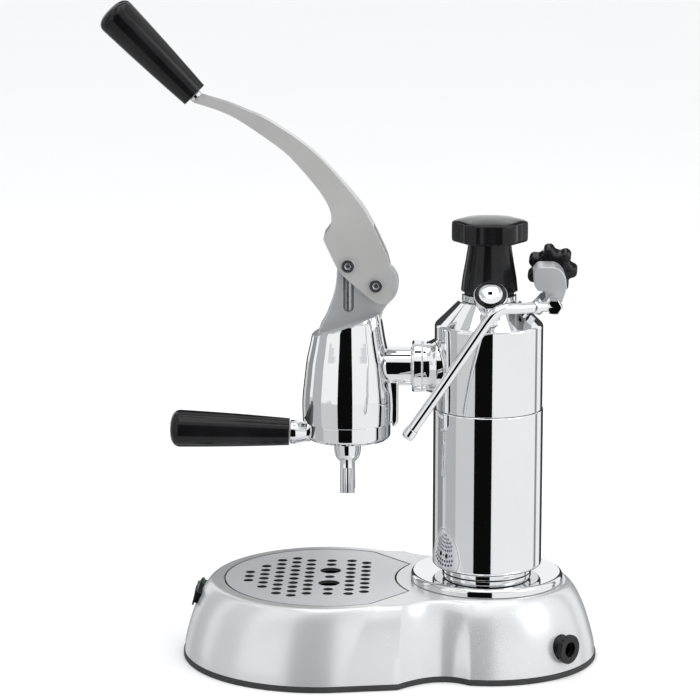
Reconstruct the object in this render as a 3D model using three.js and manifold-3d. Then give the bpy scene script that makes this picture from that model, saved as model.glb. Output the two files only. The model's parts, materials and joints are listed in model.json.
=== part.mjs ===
// A lever espresso machine: a figure-eight base with a drip tray, an upright boiler, a brewing group with
// a hand lever and piston, a portafilter, a steam tap with its wand, and a sight glass.
// Millimetres, +Z up. The origin is on the floor under the middle of the whole machine; the lever points to
// -X.
import * as THREE from "three";
import { mergeVertices } from "three/addons/utils/BufferGeometryUtils.js";
import Module from "manifold-3d";

// ---- driving dimensions -------------------------------------------------------------------------
const GAP = 0.3; // clearance between neighbouring pieces
const BOILER_X = 93.2; // boiler axis
const GROUP_X = -3.5; // brewing group axis
const LOBE_X = -24.1; // centre of the base's front lobe, at the floor
const TRAY_X = -17.4; // centre of the drip tray

const LOBE_R = 95.5; // front lobe at the floor
const REAR_R = 77.0; // rear lobe at the floor
const TOP_LOBE_R = 79.6; // front lobe at the top of the base
const TOP_REAR_R = 54.9; // rear lobe at the top of the base
const BASE_TOP = 54.4;
const TRIM_H = 3.8; // rubber trim under the base
const WALL = 2.4; // base shell

const BOILER_R = 38;
const NECK_BORE = 13.4; // bore of the filler neck
const STEM_R = 11.5; // the cap's stem, which turns in it
const HEAD_R = 37.4;
const HEAD_Z = 177; // seam between boiler body and head
const CONE_Z = 235.7; // where the head's 45 degree cone starts
const CONE_TOP_R = 21;
const CONE_TOP_Z = 251.9;
const NECK_TOP_Z = 256.8;
const CAP_TOP_Z = 310;

const BELL_R = 32.1;
const BELL_Z = 167.3; // bottom edge of the brewing group
const BORE_R = 22; // piston bore
const PIPE_Z = 205.5; // pipe between the boiler and the group
const PIPE_R = 13.6;
const UPRIGHT_HALF = 8; // half width of the flat upright that carries the lever
const FULCRUM = new THREE.Vector2(19.1, 263.9); // lever fulcrum, from the group axis
const PIN_Z = 277.5; // piston pin with the lever up
const PIN_R = 2.5;
const CHEEK = 5; // thickness of each cheek of the lever's fork

// ---- finishes -----------------------------------------------------------------------------------
const finish = (color, roughness, metalness) => ({ color, roughness, metalness });
const CHROME = finish(0xe8eaee, 0.06, 1);
const SATIN = finish(0xc9cccf, 0.32, 1);
const LEVER_METAL = finish(0xcfd1d3, 0.24, 1);
const BAKELITE = finish(0x0b0b0c, 0.14, 0);
const RUBBER = finish(0x161616, 0.7, 0);
const BRASS = finish(0xb58d4a, 0.3, 1);
const STEEL = finish(0x9ea1a5, 0.35, 1);
const GLASS = finish(0xe6f2f0, 0.05, 0);
const LENS = finish(0x2f9e4a, 0.2, 0);

// ---- solids -------------------------------------------------------------------------------------
const wasm = await Module();
wasm.setup();

// A closed geometry as a manifold solid, facing outwards whichever way its profile ran.
function solid(geometry) {
  const bare = geometry.clone();
  bare.deleteAttribute("normal");
  bare.deleteAttribute("uv");
  const merged = mergeVertices(bare, 1e-4);
  const vertProperties = new Float32Array(merged.attributes.position.array);
  const triVerts = new Uint32Array(merged.index.array);
  const make = () => new wasm.Manifold(new wasm.Mesh({ numProp: 3, vertProperties, triVerts }));
  const made = make();
  if (made.volume() > 0) return made;
  for (let i = 0; i < triVerts.length; i += 3) {
    const first = triVerts[i];
    triVerts[i] = triVerts[i + 1];
    triVerts[i + 1] = first;
  }
  return make();
}

function geometryOf(made) {
  const mesh = made.getMesh();
  const geometry = new THREE.BufferGeometry();
  geometry.setAttribute("position", new THREE.BufferAttribute(new Float32Array(mesh.vertProperties), 3));
  geometry.setIndex(new THREE.BufferAttribute(new Uint32Array(mesh.triVerts), 1));
  geometry.computeVertexNormals();
  return geometry;
}

const join = (...solids) => solids.reduce((all, next) => all.add(next));
const cut = (from, ...tools) => tools.reduce((rest, tool) => rest.subtract(tool), from);

// A turned solid about +Z from [radius, z] pairs; a profile that leaves the axis closes on itself.
function turned(profile, segments = 24) {
  const points = profile.map(([r, z]) => new THREE.Vector2(r, z));
  const onAxis = profile[0][0] === 0 && profile.at(-1)[0] === 0;
  if (!onAxis) points.push(points[0].clone());
  return solid(new THREE.LatheGeometry(points, segments).rotateX(Math.PI / 2));
}

const disc = (r, z0, z1, segments = 20) => turned([[0, z0], [r, z0], [r, z1], [0, z1]], segments);
const ring = (inner, outer, z0, z1, segments = 20) =>
  turned([[inner, z0], [outer, z0], [outer, z1], [inner, z1]], segments);

function box(x0, x1, y0, y1, z0, z1) {
  const geometry = new THREE.BoxGeometry(x1 - x0, y1 - y0, z1 - z0);
  return solid(geometry.translate((x0 + x1) / 2, (y0 + y1) / 2, (z0 + z1) / 2));
}

// A flat outline in X and Z, extruded across Y from y0 to y1.
function slab(shape, y0, y1, curveSegments = 10) {
  const geometry = new THREE.ExtrudeGeometry(shape, { depth: y1 - y0, bevelEnabled: false, curveSegments });
  return solid(geometry.rotateX(Math.PI / 2).translate(0, y1, 0));
}

// A flat outline in X and Y, extruded up from z0 to z1.
function plate(shape, z0, z1, curveSegments = 12) {
  const geometry = new THREE.ExtrudeGeometry(shape, { depth: z1 - z0, bevelEnabled: false, curveSegments });
  return solid(geometry.translate(0, 0, z0));
}

// Moves a solid made about +Z so that +Z points along the direction and its origin sits at a point.
function aimed(made, origin, direction) {
  const turn = new THREE.Quaternion().setFromUnitVectors(
    new THREE.Vector3(0, 0, 1),
    new THREE.Vector3(...direction).normalize(),
  );
  return solid(geometryOf(made).applyQuaternion(turn).translate(...origin));
}

// A round rod or tube along a smooth curve.
function bar(points, r, steps, sides = 12, tension = 0.5) {
  const outline = new THREE.Shape(
    Array.from({ length: sides }, (_, i) => {
      const angle = (2 * Math.PI * i) / sides;
      return new THREE.Vector2(r * Math.cos(angle), r * Math.sin(angle));
    }),
  );
  const path = new THREE.CatmullRomCurve3(points.map((p) => new THREE.Vector3(...p)), false, "catmullrom",
    tension);
  return solid(new THREE.ExtrudeGeometry(outline, { steps, bevelEnabled: false, extrudePath: path }));
}

const arc = (cx, cy, r, from, to, count) =>
  Array.from({ length: count }, (_, i) => {
    const angle = THREE.MathUtils.degToRad(from + ((to - from) * i) / (count - 1));
    return new THREE.Vector2(cx + r * Math.cos(angle), cy + r * Math.sin(angle));
  });

// ---- assembly helpers ---------------------------------------------------------------------------
const machine = new THREE.Group();
const boilerGroup = new THREE.Group();
const brewGroup = new THREE.Group();
const leverGroup = new THREE.Group();
boilerGroup.position.x = BOILER_X;
brewGroup.position.x = GROUP_X;
leverGroup.position.set(FULCRUM.x, 0, FULCRUM.y);
brewGroup.add(leverGroup);
machine.add(boilerGroup, brewGroup);

function add(group, name, made, look) {
  const mesh = new THREE.Mesh(geometryOf(made), new THREE.MeshStandardMaterial(look));
  mesh.name = name;
  group.add(mesh);
}

// ---- base ---------------------------------------------------------------------------------------
// Half of the base's outline, y >= 0, from the front tip to the rear tip: front lobe, flank, waist, rear
// lobe.
function halfOutline({ lobeX, lobeR, lobeEnd, corner, waist, rearR, rearStart }) {
  const front = arc(lobeX, 0, lobeR, 180, lobeEnd, 11);
  const waistCurve = new THREE.QuadraticBezierCurve(
    new THREE.Vector2(...corner),
    new THREE.Vector2(...waist),
    arc(BOILER_X, 0, rearR, rearStart, rearStart, 2)[0],
  );
  const rear = arc(BOILER_X, 0, rearR, rearStart, 0, 10);
  return [...front, ...waistCurve.getPoints(5), ...rear.slice(1)];
}

const FLOOR_OUTLINE = halfOutline({
  lobeX: LOBE_X, lobeR: LOBE_R, lobeEnd: 79, corner: [32.4, 87.3], waist: [59.6, 57.6], rearR: REAR_R,
    rearStart: 99.5,
});
const TOP_OUTLINE = halfOutline({
  lobeX: TRAY_X, lobeR: TOP_LOBE_R, lobeEnd: 62, corner: [35.4, 69], waist: [46.3, 54], rearR: TOP_REAR_R,
    rearStart: 104,
});

// The whole outline, a share of the way from the floor outline to the top one, moved in by an inset.
function outlineAt(share, inset) {
  const half = FLOOR_OUTLINE.map((p, i) => p.clone().lerp(TOP_OUTLINE[i], share));
  const mirrored = half.slice(1, -1).reverse().map((p) => new THREE.Vector2(p.x, -p.y));
  return movedIn([...half, ...mirrored].reverse(), inset);
}

// A counter-clockwise loop with each point moved in along its own normal.
function movedIn(loop, inset) {
  return loop.map((p, i) => {
    const before = loop[(i + loop.length - 1) % loop.length];
    const after = loop[(i + 1) % loop.length];
    const along = after.clone().sub(before).normalize();
    return new THREE.Vector2(p.x - along.y * inset, p.y + along.x * inset);
  });
}

// Skin through a stack of loops at rising heights, closed by flat ends.
function loft(loops) {
  const count = loops[0].points.length;
  const positions = loops.flatMap(({ points, z }) => points.flatMap((p) => [p.x, p.y, z]));
  const index = [];
  for (let level = 0; level < loops.length - 1; level++) {
    for (let i = 0; i < count; i++) {
      const a = level * count + i;
      const b = level * count + ((i + 1) % count);
      index.push(a, b, b + count, a, b + count, a + count);
    }
  }
  const cap = (level, turnedOver) => {
    for (const [a, b, c] of THREE.ShapeUtils.triangulateShape(loops[level].points, [])) {
      const [second, third] = turnedOver ? [c, b] : [b, c];
      index.push(level * count + a, level * count + second, level * count + third);
    }
  };
  cap(0, true);
  cap(loops.length - 1, false);
  const geometry = new THREE.BufferGeometry();
  geometry.setAttribute("position", new THREE.Float32BufferAttribute(positions, 3));
  geometry.setIndex(index);
  return solid(geometry);
}

// Height of the wall against its way in from the floor outline (0) to the top outline (1).
const WALL_CURVE = [[4.1, 0.03], [14, 0.1], [31, 0.32], [44, 0.57], [51, 0.78]];

const outerLevels = [...WALL_CURVE, [BASE_TOP, 1.0]];
const baseOuter = loft(outerLevels.map(([z, share]) => ({ points: outlineAt(share, 0), z })));
const innerLevels = [[3, 0.0], [31, 0.32], [BASE_TOP - WALL, 0.86]];
const baseInner = loft(innerLevels.map(([z, share]) => ({ points: outlineAt(share, WALL), z })));

// The drip tray's outline: round at the front, with straight shoulders and a hollow towards the boiler.
const TRAY_R = 72.3;
const TRAY_CORNER = [36.2, 34.5];
const TRAY_HOLLOW_R = 66;
function trayOutline(inset) {
  const shoulder = arc(TRAY_X, 0, TRAY_R, 65, 295, 19);
  const corner = new THREE.Vector2(...TRAY_CORNER);
  const halfAngle = THREE.MathUtils.radToDeg(Math.asin(corner.y / TRAY_HOLLOW_R));
  const hollow = arc(95, 0, TRAY_HOLLOW_R, 180 + halfAngle, 180 - halfAngle, 5);
  return new THREE.Shape(movedIn([...shoulder, ...hollow], inset));
}

const LEDGE_Z = 50.6; // the shelf that the basin's rim rests on
const TRAY_GAP = 1.2; // dark gap round the tray
const RIM_IN = 3.4; // from the tray's edge in to the shelf's opening
const shelf = plate(trayOutline(-TRAY_GAP - 2.4), LEDGE_Z - 2.2, BASE_TOP - 1);
const basinHole = plate(trayOutline(RIM_IN), 30, BASE_TOP + 2);
const rimHole = plate(trayOutline(-TRAY_GAP), LEDGE_Z, BASE_TOP + 2);

// Frame of a small fitting on the sloping wall: a point, its outward direction, and the direction across.
const SWITCH = { at: [-109.6, 0, 41.5], out: [-0.97, 0, 0.24] };
const LAMP = { at: [-107.2, 22.5, 41.5], out: [-0.94, 0.24, 0.24] };
const GLAND = { at: [138.4, -46.1, 20], out: [0.75, -0.66, 0] };
const BEZEL = { half: 13, halfHeight: 5.6 };
const bezelTool = aimed(
  box(-BEZEL.halfHeight + 1.2, BEZEL.halfHeight - 1.2, -BEZEL.half + 1.2, BEZEL.half - 1.2, -9, 9),
  SWITCH.at, SWITCH.out);
const lampTool = aimed(disc(4.2, -9, 9, 20), LAMP.at, LAMP.out);
const glandTool = aimed(disc(8.9, -12, 14, 24), GLAND.at, GLAND.out);
const heaterTool = disc(24.6, 40, 60).translate([BOILER_X, 0, 0]);
add(machine, "base_shell",
  cut(join(cut(baseOuter, baseInner), shelf), basinHole, rimHole, bezelTool, lampTool, glandTool,
    heaterTool), CHROME);

const trimLoop = (inset) => new THREE.Shape(outlineAt(0, inset));
add(machine, "base_trim", cut(plate(trimLoop(0), 0, TRIM_H), plate(trimLoop(7), -1, TRIM_H + 1)), RUBBER);
const SCREW_SPOTS = [[-95, 0], [60, 55], [60, -55]];
const screwHoles = SCREW_SPOTS.map(([x, y]) => disc(2.4, 0, 9, 16).translate([x, y, 0]));
add(machine, "base_bottom_plate", cut(plate(trimLoop(WALL + 1.6), TRIM_H + GAP, 6), ...screwHoles), STEEL);
SCREW_SPOTS.forEach(([x, y], i) => {
  const screw = turned([[0, 1.4], [4.2, 1.4], [4.2, 3.6], [2, 3.6], [2, 9], [0, 9]], 16);
  add(machine, `base_screw_${i + 1}`, screw.translate([x, y, 0]), STEEL);
});

const BASIN_FLOOR = 27;
const basinRim = plate(trayOutline(-TRAY_GAP + 0.5), LEDGE_Z + GAP, LEDGE_Z + 1.3);
const basinWall = plate(trayOutline(RIM_IN + 0.5), BASIN_FLOOR, LEDGE_Z + 1.3);
const basinHollow = plate(trayOutline(RIM_IN + 2), BASIN_FLOOR + 1.5, BASE_TOP + 2);
add(machine, "drip_basin", cut(join(basinRim, basinWall), basinHollow), BAKELITE);

// The grille's holes: rows and columns on one pitch, with two large drain holes in the middle row.
const HOLE_PITCH = 10.5;
const COLUMNS = [
  { x: -55.7, count: 3 }, { x: -45.2, count: 6 }, { x: -34.7, count: 9 }, { x: -24.2, count: 10 },
  { x: -13.7, count: 9 }, { x: 15.1, count: 9 }, { x: 25.7, count: 8 },
];
const holes = COLUMNS.flatMap(({ x, count }) =>
  Array.from({ length: count }, (_, i) => ({ x, y: (i - (count - 1) / 2) * HOLE_PITCH, r: 3.5 })));
holes.push(...[0, 31.5, -31.5, 42, -42].map((y) => ({ x: 0.8, y, r: 3.5 })));
holes.push(...[16, -16].map((y) => ({ x: 0.8, y, r: 7.4 })));
const drills = holes.map(({ x, y, r }) => disc(r, 50, 60, r > 4 ? 10 : 6).translate([TRAY_X + x, y, 0]));
add(machine, "drip_grille", cut(plate(trayOutline(0), LEDGE_Z + 1.3 + GAP, BASE_TOP - 0.1), ...drills),
  SATIN);

// Power switch, pilot lamp and cable gland in the base wall.
const bezelPlate = box(-BEZEL.halfHeight, BEZEL.halfHeight, -BEZEL.half, BEZEL.half, 0.8, 2);
const bezelBody = box(-4, 4, -11.4, 11.4, -8, 1);
const rockerRoom = box(-3, 3, -10.3, 10.3, -5, 3);
add(machine, "switch_bezel", aimed(cut(join(bezelPlate, bezelBody), rockerRoom), SWITCH.at, SWITCH.out),
  BAKELITE);
const rockerShape = new THREE.Shape([[-9.6, -1.2], [0, -3], [9.6, -1.2], [9.6, 2.6], [0, 1.7], [-9.6, 0.9]]
  .map(([x, y]) => new THREE.Vector2(x, y)));
const rocker = solid(new THREE.ExtrudeGeometry(rockerShape, { depth: 5.2, bevelEnabled: false })
  .translate(0, 0, -2.6).applyMatrix4(new THREE.Matrix4().makeBasis(
    new THREE.Vector3(0, 1, 0), new THREE.Vector3(0, 0, 1), new THREE.Vector3(1, 0, 0))));
add(machine, "power_rocker", aimed(rocker, SWITCH.at, SWITCH.out), BAKELITE);
add(machine, "pilot_lamp",
  aimed(turned([[0, -6], [3.7, -6], [3.7, 0.9], [5, 0.9], [4.6, 2.1], [2.6, 3], [0, 3.3]], 20), LAMP.at,
    LAMP.out),
  LENS);
add(machine, "gland_body",
  aimed(turned([[5, -8], [8.5, -8], [8.5, 7], [7.9, 8], [8.5, 9], [7.9, 10], [8.5, 11], [7.9, 12], [5, 12]],
    16),
    GLAND.at, GLAND.out), BAKELITE);
add(machine, "gland_nut", aimed(ring(5.2, 10.2, 12.3, 15.2, 24), GLAND.at, GLAND.out), BAKELITE);

// ---- boiler -------------------------------------------------------------------------------------
add(boilerGroup, "boiler_flange",
  turned([[24.6, 54.7], [53.2, 54.7], [53.2, 58.2], [52.2, 59.8], [50.4, 60.5], [24.6, 60.5]], 32), CHROME);
add(boilerGroup, "boiler_foot", turned([[18, 60.8], [31, 60.8], [31, 63.6], [29.8, 65.3], [18, 65.3]]),
  CHROME);
const OUTLET_X = -45.8;
const boilerShell = turned([
  [17, 65.6], [36.6, 65.6], [BOILER_R, 67], [BOILER_R, HEAD_Z - 0.6], [BOILER_R - 0.5, HEAD_Z],
  [35.4, HEAD_Z], [35.4, 68.4], [17, 68.4]], 32);
const gaugeHole = (z) => aimed(disc(3, 20, 50, 12), [0, 0, z], [0, 1, 0]);
const GAUGE_LOW = 96;
const GAUGE_HIGH = 203;
add(boilerGroup, "boiler_body", cut(boilerShell, gaugeHole(GAUGE_LOW)), CHROME);
const headShell = turned([
  [35.2, HEAD_Z + GAP], [HEAD_R, HEAD_Z + GAP], [HEAD_R, CONE_Z - 1], [HEAD_R - 0.6, CONE_Z + 0.4],
  [CONE_TOP_R, CONE_TOP_Z], [13, CONE_TOP_Z], [13, 249], [34.8, CONE_Z - 1.8], [34.8, HEAD_Z + GAP + 2]],
    32);
const pipeHole = aimed(disc(9.5, 20, 50, 20), [0, 0, PIPE_Z], [-1, 0, 0]);
const CONE_MIDDLE = [29.2, 243.8]; // radius and height of the middle of the cone
const VALVE_OUT = [0, -1, 1];
const TAP_OUT = [1, 0, 1];
const valveHole = aimed(disc(4, -8, 5, 16), [0, -CONE_MIDDLE[0], CONE_MIDDLE[1]], VALVE_OUT);
const tapHole = aimed(disc(3, -8, 5, 12), [CONE_MIDDLE[0], 0, CONE_MIDDLE[1]], TAP_OUT);
add(boilerGroup, "boiler_head", cut(headShell, pipeHole, valveHole, tapHole, gaugeHole(GAUGE_HIGH)), CHROME);
add(boilerGroup, "heater_flange", ring(14, 23.8, 50.5, 54.2), BRASS);
add(boilerGroup, "heater_core", turned([[0, 47], [13.4, 47], [13.4, 56], [16.4, 56], [16.4, 69.5],
  [0, 69.5]], 24), BRASS);
const heaterPath = [[-11, 0, 69.8], [-11, 0, 95], [-10, 0, 112], [0, 0, 121], [10, 0, 112], [11, 0, 95],
  [11, 0, 69.8]];
add(boilerGroup, "heating_element", bar(heaterPath, 4, 12, 8), STEEL);

const NECK_Z = CONE_TOP_Z + GAP;
add(boilerGroup, "filler_neck",
  turned([[NECK_BORE, NECK_Z], [18.7, NECK_Z], [18.7, 255.9], [17.9, NECK_TOP_Z], [NECK_BORE, NECK_TOP_Z]]),
    CHROME);
add(boilerGroup, "cap_gasket", ring(STEM_R + 0.4, 17.2, NECK_TOP_Z + GAP, 258.7), RUBBER);
const CAP_SEAT = 261; // underside of the cap, over its stem
const CAP_SKIRT = [[0, CAP_SEAT], [STEM_R + 0.3, CAP_SEAT], [STEM_R + 0.3, 259], [19.7, 259], [18.6, 268],
  [16.4, 280],
  [14.7, 288.6]];
const capBody = turned([...CAP_SKIRT, [14.7, 293.2], [0, 293.2]]);
const CAP_LOBES = 6;
const CAP_R = 25.1;
const CAP_WAVE = 1.1;
// A round outline with a wave of lobes on it.
function lobed(r, wave, lobes, count) {
  return Array.from({ length: count }, (_, i) => {
    const angle = (2 * Math.PI * i) / count;
    const radius = r + wave * Math.cos(lobes * angle);
    return new THREE.Vector2(radius * Math.cos(angle), radius * Math.sin(angle));
  });
}
const scaled = (points, k) => points.map((p) => p.clone().multiplyScalar(k));
const capLobes = lobed(CAP_R, CAP_WAVE, CAP_LOBES, 30);
const capDisc = loft([
  { points: scaled(capLobes, 0.93), z: 292.8 }, { points: capLobes, z: 295 }, { points: capLobes, z: 302.2 },
  { points: scaled(capLobes, 0.93), z: 305.4 }, { points: scaled(capLobes, 0.6), z: 308.4 },
  { points: scaled(capLobes, 0.2), z: CAP_TOP_Z }]);
add(boilerGroup, "boiler_cap", join(capBody, capDisc), BAKELITE);
add(boilerGroup, "cap_stem", disc(STEM_R, NECK_Z + 0.4, CAP_SEAT - 0.4, 32), CHROME);

// Safety valve on the head's cone, tilted up and out.
const atValve = (made) => aimed(made, [0, -CONE_MIDDLE[0], CONE_MIDDLE[1]], VALVE_OUT);
add(boilerGroup, "safety_valve_body",
  atValve(turned([[0, 0.6], [7, 0.6], [7, 3.5], [6, 4.4], [6, 8], [10.2, 21], [10.2, 24.4],
    [8.4, 24.4], [8.4, 21.6], [4.8, 9.4], [4.8, 8.6], [0, 8.6]], 24)), CHROME);
add(boilerGroup, "safety_valve_spring", atValve(ring(2.6, 4.3, 9, 23.8, 16)), STEEL);
add(boilerGroup, "safety_valve_dome",
  atValve(turned([[0, 24.7], [11.5, 24.7], [11.5, 28.6], [10.9, 29.3], [9.9, 29.3], [5, 31.6], [0, 32.2]],
    24)), CHROME);

// Steam tap at the rear of the cone, with its star knob on the far side and the wand on the near side.
const TAP_AT = [40.9, -14, 268];
const SPINDLE_OUT = new THREE.Vector3(0.07, 0.93, 0.3).normalize().toArray();
const KNOB_AT = [43.1, 12.8, 270.3];
const stubPath = [[CONE_MIDDLE[0] + 2, 0, CONE_MIDDLE[1] + 2], [34.6, -2, 249.2], [38.5, -6, 254.5]];
add(boilerGroup, "steam_stub", bar(stubPath, 5.2, 4, 12), CHROME);
const tapShape = new THREE.Shape();
tapShape.moveTo(-3, -12.6);
tapShape.lineTo(8, -12.6);
tapShape.lineTo(11, -3);
tapShape.quadraticCurveTo(11.4, 6, 5, 11.5);
tapShape.lineTo(-8, 11.6);
tapShape.quadraticCurveTo(-11.4, 11.4, -11.4, 8);
tapShape.lineTo(-11, -1);
tapShape.lineTo(-8.6, -5);
tapShape.lineTo(-3.6, -5);
tapShape.closePath();
const tapBlock = slab(tapShape, -13, 13, 5).translate(TAP_AT);
const spindleRoom = aimed(disc(4.4, -8, 60, 16), KNOB_AT.map((v, i) => v - SPINDLE_OUT[i] * 22),
  SPINDLE_OUT);
const stubRoom = bar(stubPath, 5.6, 4, 12);
const NUT_AT = [42.4, -46, 256.4];
const NUT_HALF = 6;
const outletStem = aimed(disc(4.2, NUT_HALF + GAP, 21, 16), NUT_AT, [0, 1, 0]);
add(boilerGroup, "steam_valve_body", cut(join(tapBlock, outletStem), spindleRoom, stubRoom), CHROME);
const spindleStart = KNOB_AT.map((v, i) => v - SPINDLE_OUT[i] * 21);
add(boilerGroup, "steam_spindle", aimed(disc(4, 0, 19, 16), spindleStart, SPINDLE_OUT), BRASS);
const KNOB_LOBES = 7;
const knobLobes = lobed(16.4, 2.1, KNOB_LOBES, 35);
const knob = loft([
  { points: scaled(knobLobes, 0.5), z: -3.5 }, { points: scaled(knobLobes, 0.92), z: -0.6 },
  { points: knobLobes, z: 4 }, { points: scaled(knobLobes, 0.9), z: 10.4 },
  { points: scaled(knobLobes, 0.5), z: 12.6 }]);
add(boilerGroup, "steam_knob",
  aimed(cut(knob, disc(4.4, -6, 2.6, 16)), KNOB_AT, SPINDLE_OUT), BAKELITE);

// The wand's swivel runs along the first stretch of the wand.
const WAND_DIR = new THREE.Vector3(-1, -0.5, 0.02).normalize().toArray();
const onWand = (t) => NUT_AT.map((v, i) => v + WAND_DIR[i] * t);
const nutHex = turned([[0, -NUT_HALF], [5, -NUT_HALF], [5.8, -5], [5.8, 5], [5, NUT_HALF], [0, NUT_HALF]],
  6);
add(boilerGroup, "wand_joint", join(
  aimed(nutHex, NUT_AT, [0, -1, 0]), aimed(disc(3.4, 0, 11, 16), NUT_AT, WAND_DIR)), CHROME);
const wandCollar = turned([[0, 11.3], [4.4, 11.3], [4.4, 14.6], [3.8, 15.6], [0, 15.6]], 16);
add(boilerGroup, "wand_collar", aimed(wandCollar, NUT_AT, WAND_DIR), CHROME);
const WAND_END = [-51.5, -61.4, 175];
const wandPath = [onWand(15.9), onWand(26), [9.5, -63, 257.4], [2.9, -65.4, 254.6], [-2.8, -66, 248.6],
  [-13.6, -65.4, 232.2], [-23.5, -64.6, 217.2], [-33.5, -63.4, 202], WAND_END];
add(boilerGroup, "steam_wand", bar(wandPath, 3.7, 22, 10), CHROME);
const tipDir = [-18, 1.8, -27];
const wandTip = turned([[0, 0.3], [4.2, 0.3], [4.4, 5.5], [3.6, 7.6], [0, 8]], 16);
add(boilerGroup, "wand_tip", aimed(wandTip, WAND_END, tipDir), CHROME);

// Sight glass on the far side.
const GAUGE_Y = 53;
const gaugeFitting = (z, up) => join(
  aimed(disc(5.5, BOILER_R + GAP, GAUGE_Y, 12), [0, 0, z], [0, 1, 0]),
  disc(8, z - 7, z + 7, 16).translate([0, GAUGE_Y, 0]),
  disc(5, up > 0 ? z + 7 : z - 11, up > 0 ? z + 11 : z - 7, 12).translate([0, GAUGE_Y, 0]));
add(boilerGroup, "gauge_fitting_low",
  cut(gaugeFitting(GAUGE_LOW, -1), disc(5.8, GAUGE_LOW + 4, GAUGE_LOW + 8, 16).translate([0, GAUGE_Y, 0])),
    CHROME);
add(boilerGroup, "gauge_fitting_high",
  cut(gaugeFitting(GAUGE_HIGH, 1), disc(5.8, GAUGE_HIGH - 8, GAUGE_HIGH - 4,
    16).translate([0, GAUGE_Y, 0])), CHROME);
add(boilerGroup, "sight_glass",
  ring(3.6, 5.4, GAUGE_LOW + 4 + GAP, GAUGE_HIGH - 4 - GAP, 14).translate([0, GAUGE_Y, 0]), GLASS);
const guard = cut(
  ring(6.6, 8, GAUGE_LOW + 7 + GAP, GAUGE_HIGH - 7 - GAP, 20),
  box(-4, 4, 2, 10, GAUGE_LOW + 14, GAUGE_HIGH - 14));
add(boilerGroup, "gauge_guard", guard.translate([0, GAUGE_Y, 0]), CHROME);

// ---- brewing group ------------------------------------------------------------------------------
const FACE_X = BOILER_X - GROUP_X; // boiler axis seen from the group axis
const alongPipe = (made) => aimed(made, [FACE_X, 0, PIPE_Z], [-1, 0, 0]);
const COLLAR_OUT = -OUTLET_X;
const boilerRoom = disc(HEAD_R + GAP, PIPE_Z - 30, PIPE_Z + 30, 32).translate([FACE_X, 0, 0]);
add(brewGroup, "boiler_outlet", cut(alongPipe(ring(9.5, 17.7, 30, COLLAR_OUT - GAP)), boilerRoom), CHROME);
add(brewGroup, "pipe_collar", alongPipe(turned(
  [[9.5, COLLAR_OUT], [18.2, COLLAR_OUT], [18.2, 51.8], [17.2, 52.8], [9.5, 52.8]])), CHROME);

const BELL = [[31.7, BELL_Z], [BELL_R, 179.5], [30.9, 193], [28.9, 210], [25.6, 225.5], [22.2, 246.3],
  [21.6, 250]];
const RECESS_TOP = 181;
const bell = turned([[0, BELL_Z], ...BELL, [0, 250]], 28);
// The bell's top is cut by a plane that rises to the rear.
const TOP_SLOPE = new THREE.Shape([[-60, 215.5], [60, 257], [60, 300], [-60, 300]]
  .map(([x, z]) => new THREE.Vector2(x, z)));
const uprightShape = new THREE.Shape();
uprightShape.moveTo(-22, 225);
uprightShape.splineThru([[-19.3, 233.8], [-15, 242], [-10.1, 256], [-7.9, 269], [-7.6, 283]]
  .map(([x, z]) => new THREE.Vector2(x, z)));
uprightShape.quadraticCurveTo(-7.4, 288, -2.5, 288);
uprightShape.lineTo(7, 286.5);
uprightShape.absarc(FULCRUM.x, FULCRUM.y, 15.5, THREE.MathUtils.degToRad(112),
  THREE.MathUtils.degToRad(-52), true);
uprightShape.quadraticCurveTo(23, 246, 22.6, 240);
uprightShape.lineTo(22, 225);
uprightShape.closePath();
const upright = slab(uprightShape, -UPRIGHT_HALF, UPRIGHT_HALF, 3);
const rearRib = slab(
  new THREE.Shape([[30.2, 164.2], [32.5, 164.6], [34.7, 168], [34.7, 196], [24, 200], [24, 168], [30.2, 168]]
    .map(([x, z]) => new THREE.Vector2(x, z))), -9, 9);
const PIPE_END = 53.1; // distance from the boiler axis
const pipe = alongPipe(disc(PIPE_R, PIPE_END, 84));
const waterWay = alongPipe(join(disc(8, 50, 60, 20), disc(3.5, 58, 80, 12)));
const bore = disc(BORE_R, RECESS_TOP - 2, 223);
const rodBore = disc(5.5, 220, 300, 20);
const pinSlot = slab(new THREE.Shape([[-3.2, 246], [0.3, 244.6], [3.8, 246], [3.8, 281.5], [-3.2, 281.5]]
  .map(([x, z]) => new THREE.Vector2(x, z))), -20, 20);
const collarRoom = join(disc(29.2, 171.5, RECESS_TOP), disc(27.9, 160, 173), disc(26.8, 180, 186.2));
const EAR = { half: 9, low: 174, high: 177.2, reach: 28.3 };
const EAR_ANGLE = 60; // from locked to free
const earGate = (side) => box(-EAR.half - 1.5, EAR.half + 1.5, side > 0 ? 20 : -30, side > 0 ? 30 : -20,
  160, 173)
  .intersect(disc(29.2, 160, 173)).rotate([0, 0, -EAR_ANGLE]);
const fulcrumBore = aimed(disc(3.6, -20, 20, 20), [FULCRUM.x, 0, FULCRUM.y], [0, 1, 0]);
add(brewGroup, "group_body", cut(
  join(cut(bell, slab(TOP_SLOPE, -60, 60)), upright, rearRib, pipe),
  waterWay, bore, rodBore, pinSlot, collarRoom, earGate(1), earGate(-1), fulcrumBore), CHROME);
add(brewGroup, "group_gasket", ring(BORE_R + 0.6, 26.4, RECESS_TOP + 0.6, 185.8), RUBBER);
const screenHoles = [0, 1, 2, 3, 4, 5].map((i) => {
  const angle = (i * Math.PI) / 3;
  return disc(1.6, 175, 190, 6).translate([13 * Math.cos(angle), 13 * Math.sin(angle), 0]);
});
add(brewGroup, "shower_screen", cut(disc(21.6, 181, 182), ...screenHoles), STEEL);

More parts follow.
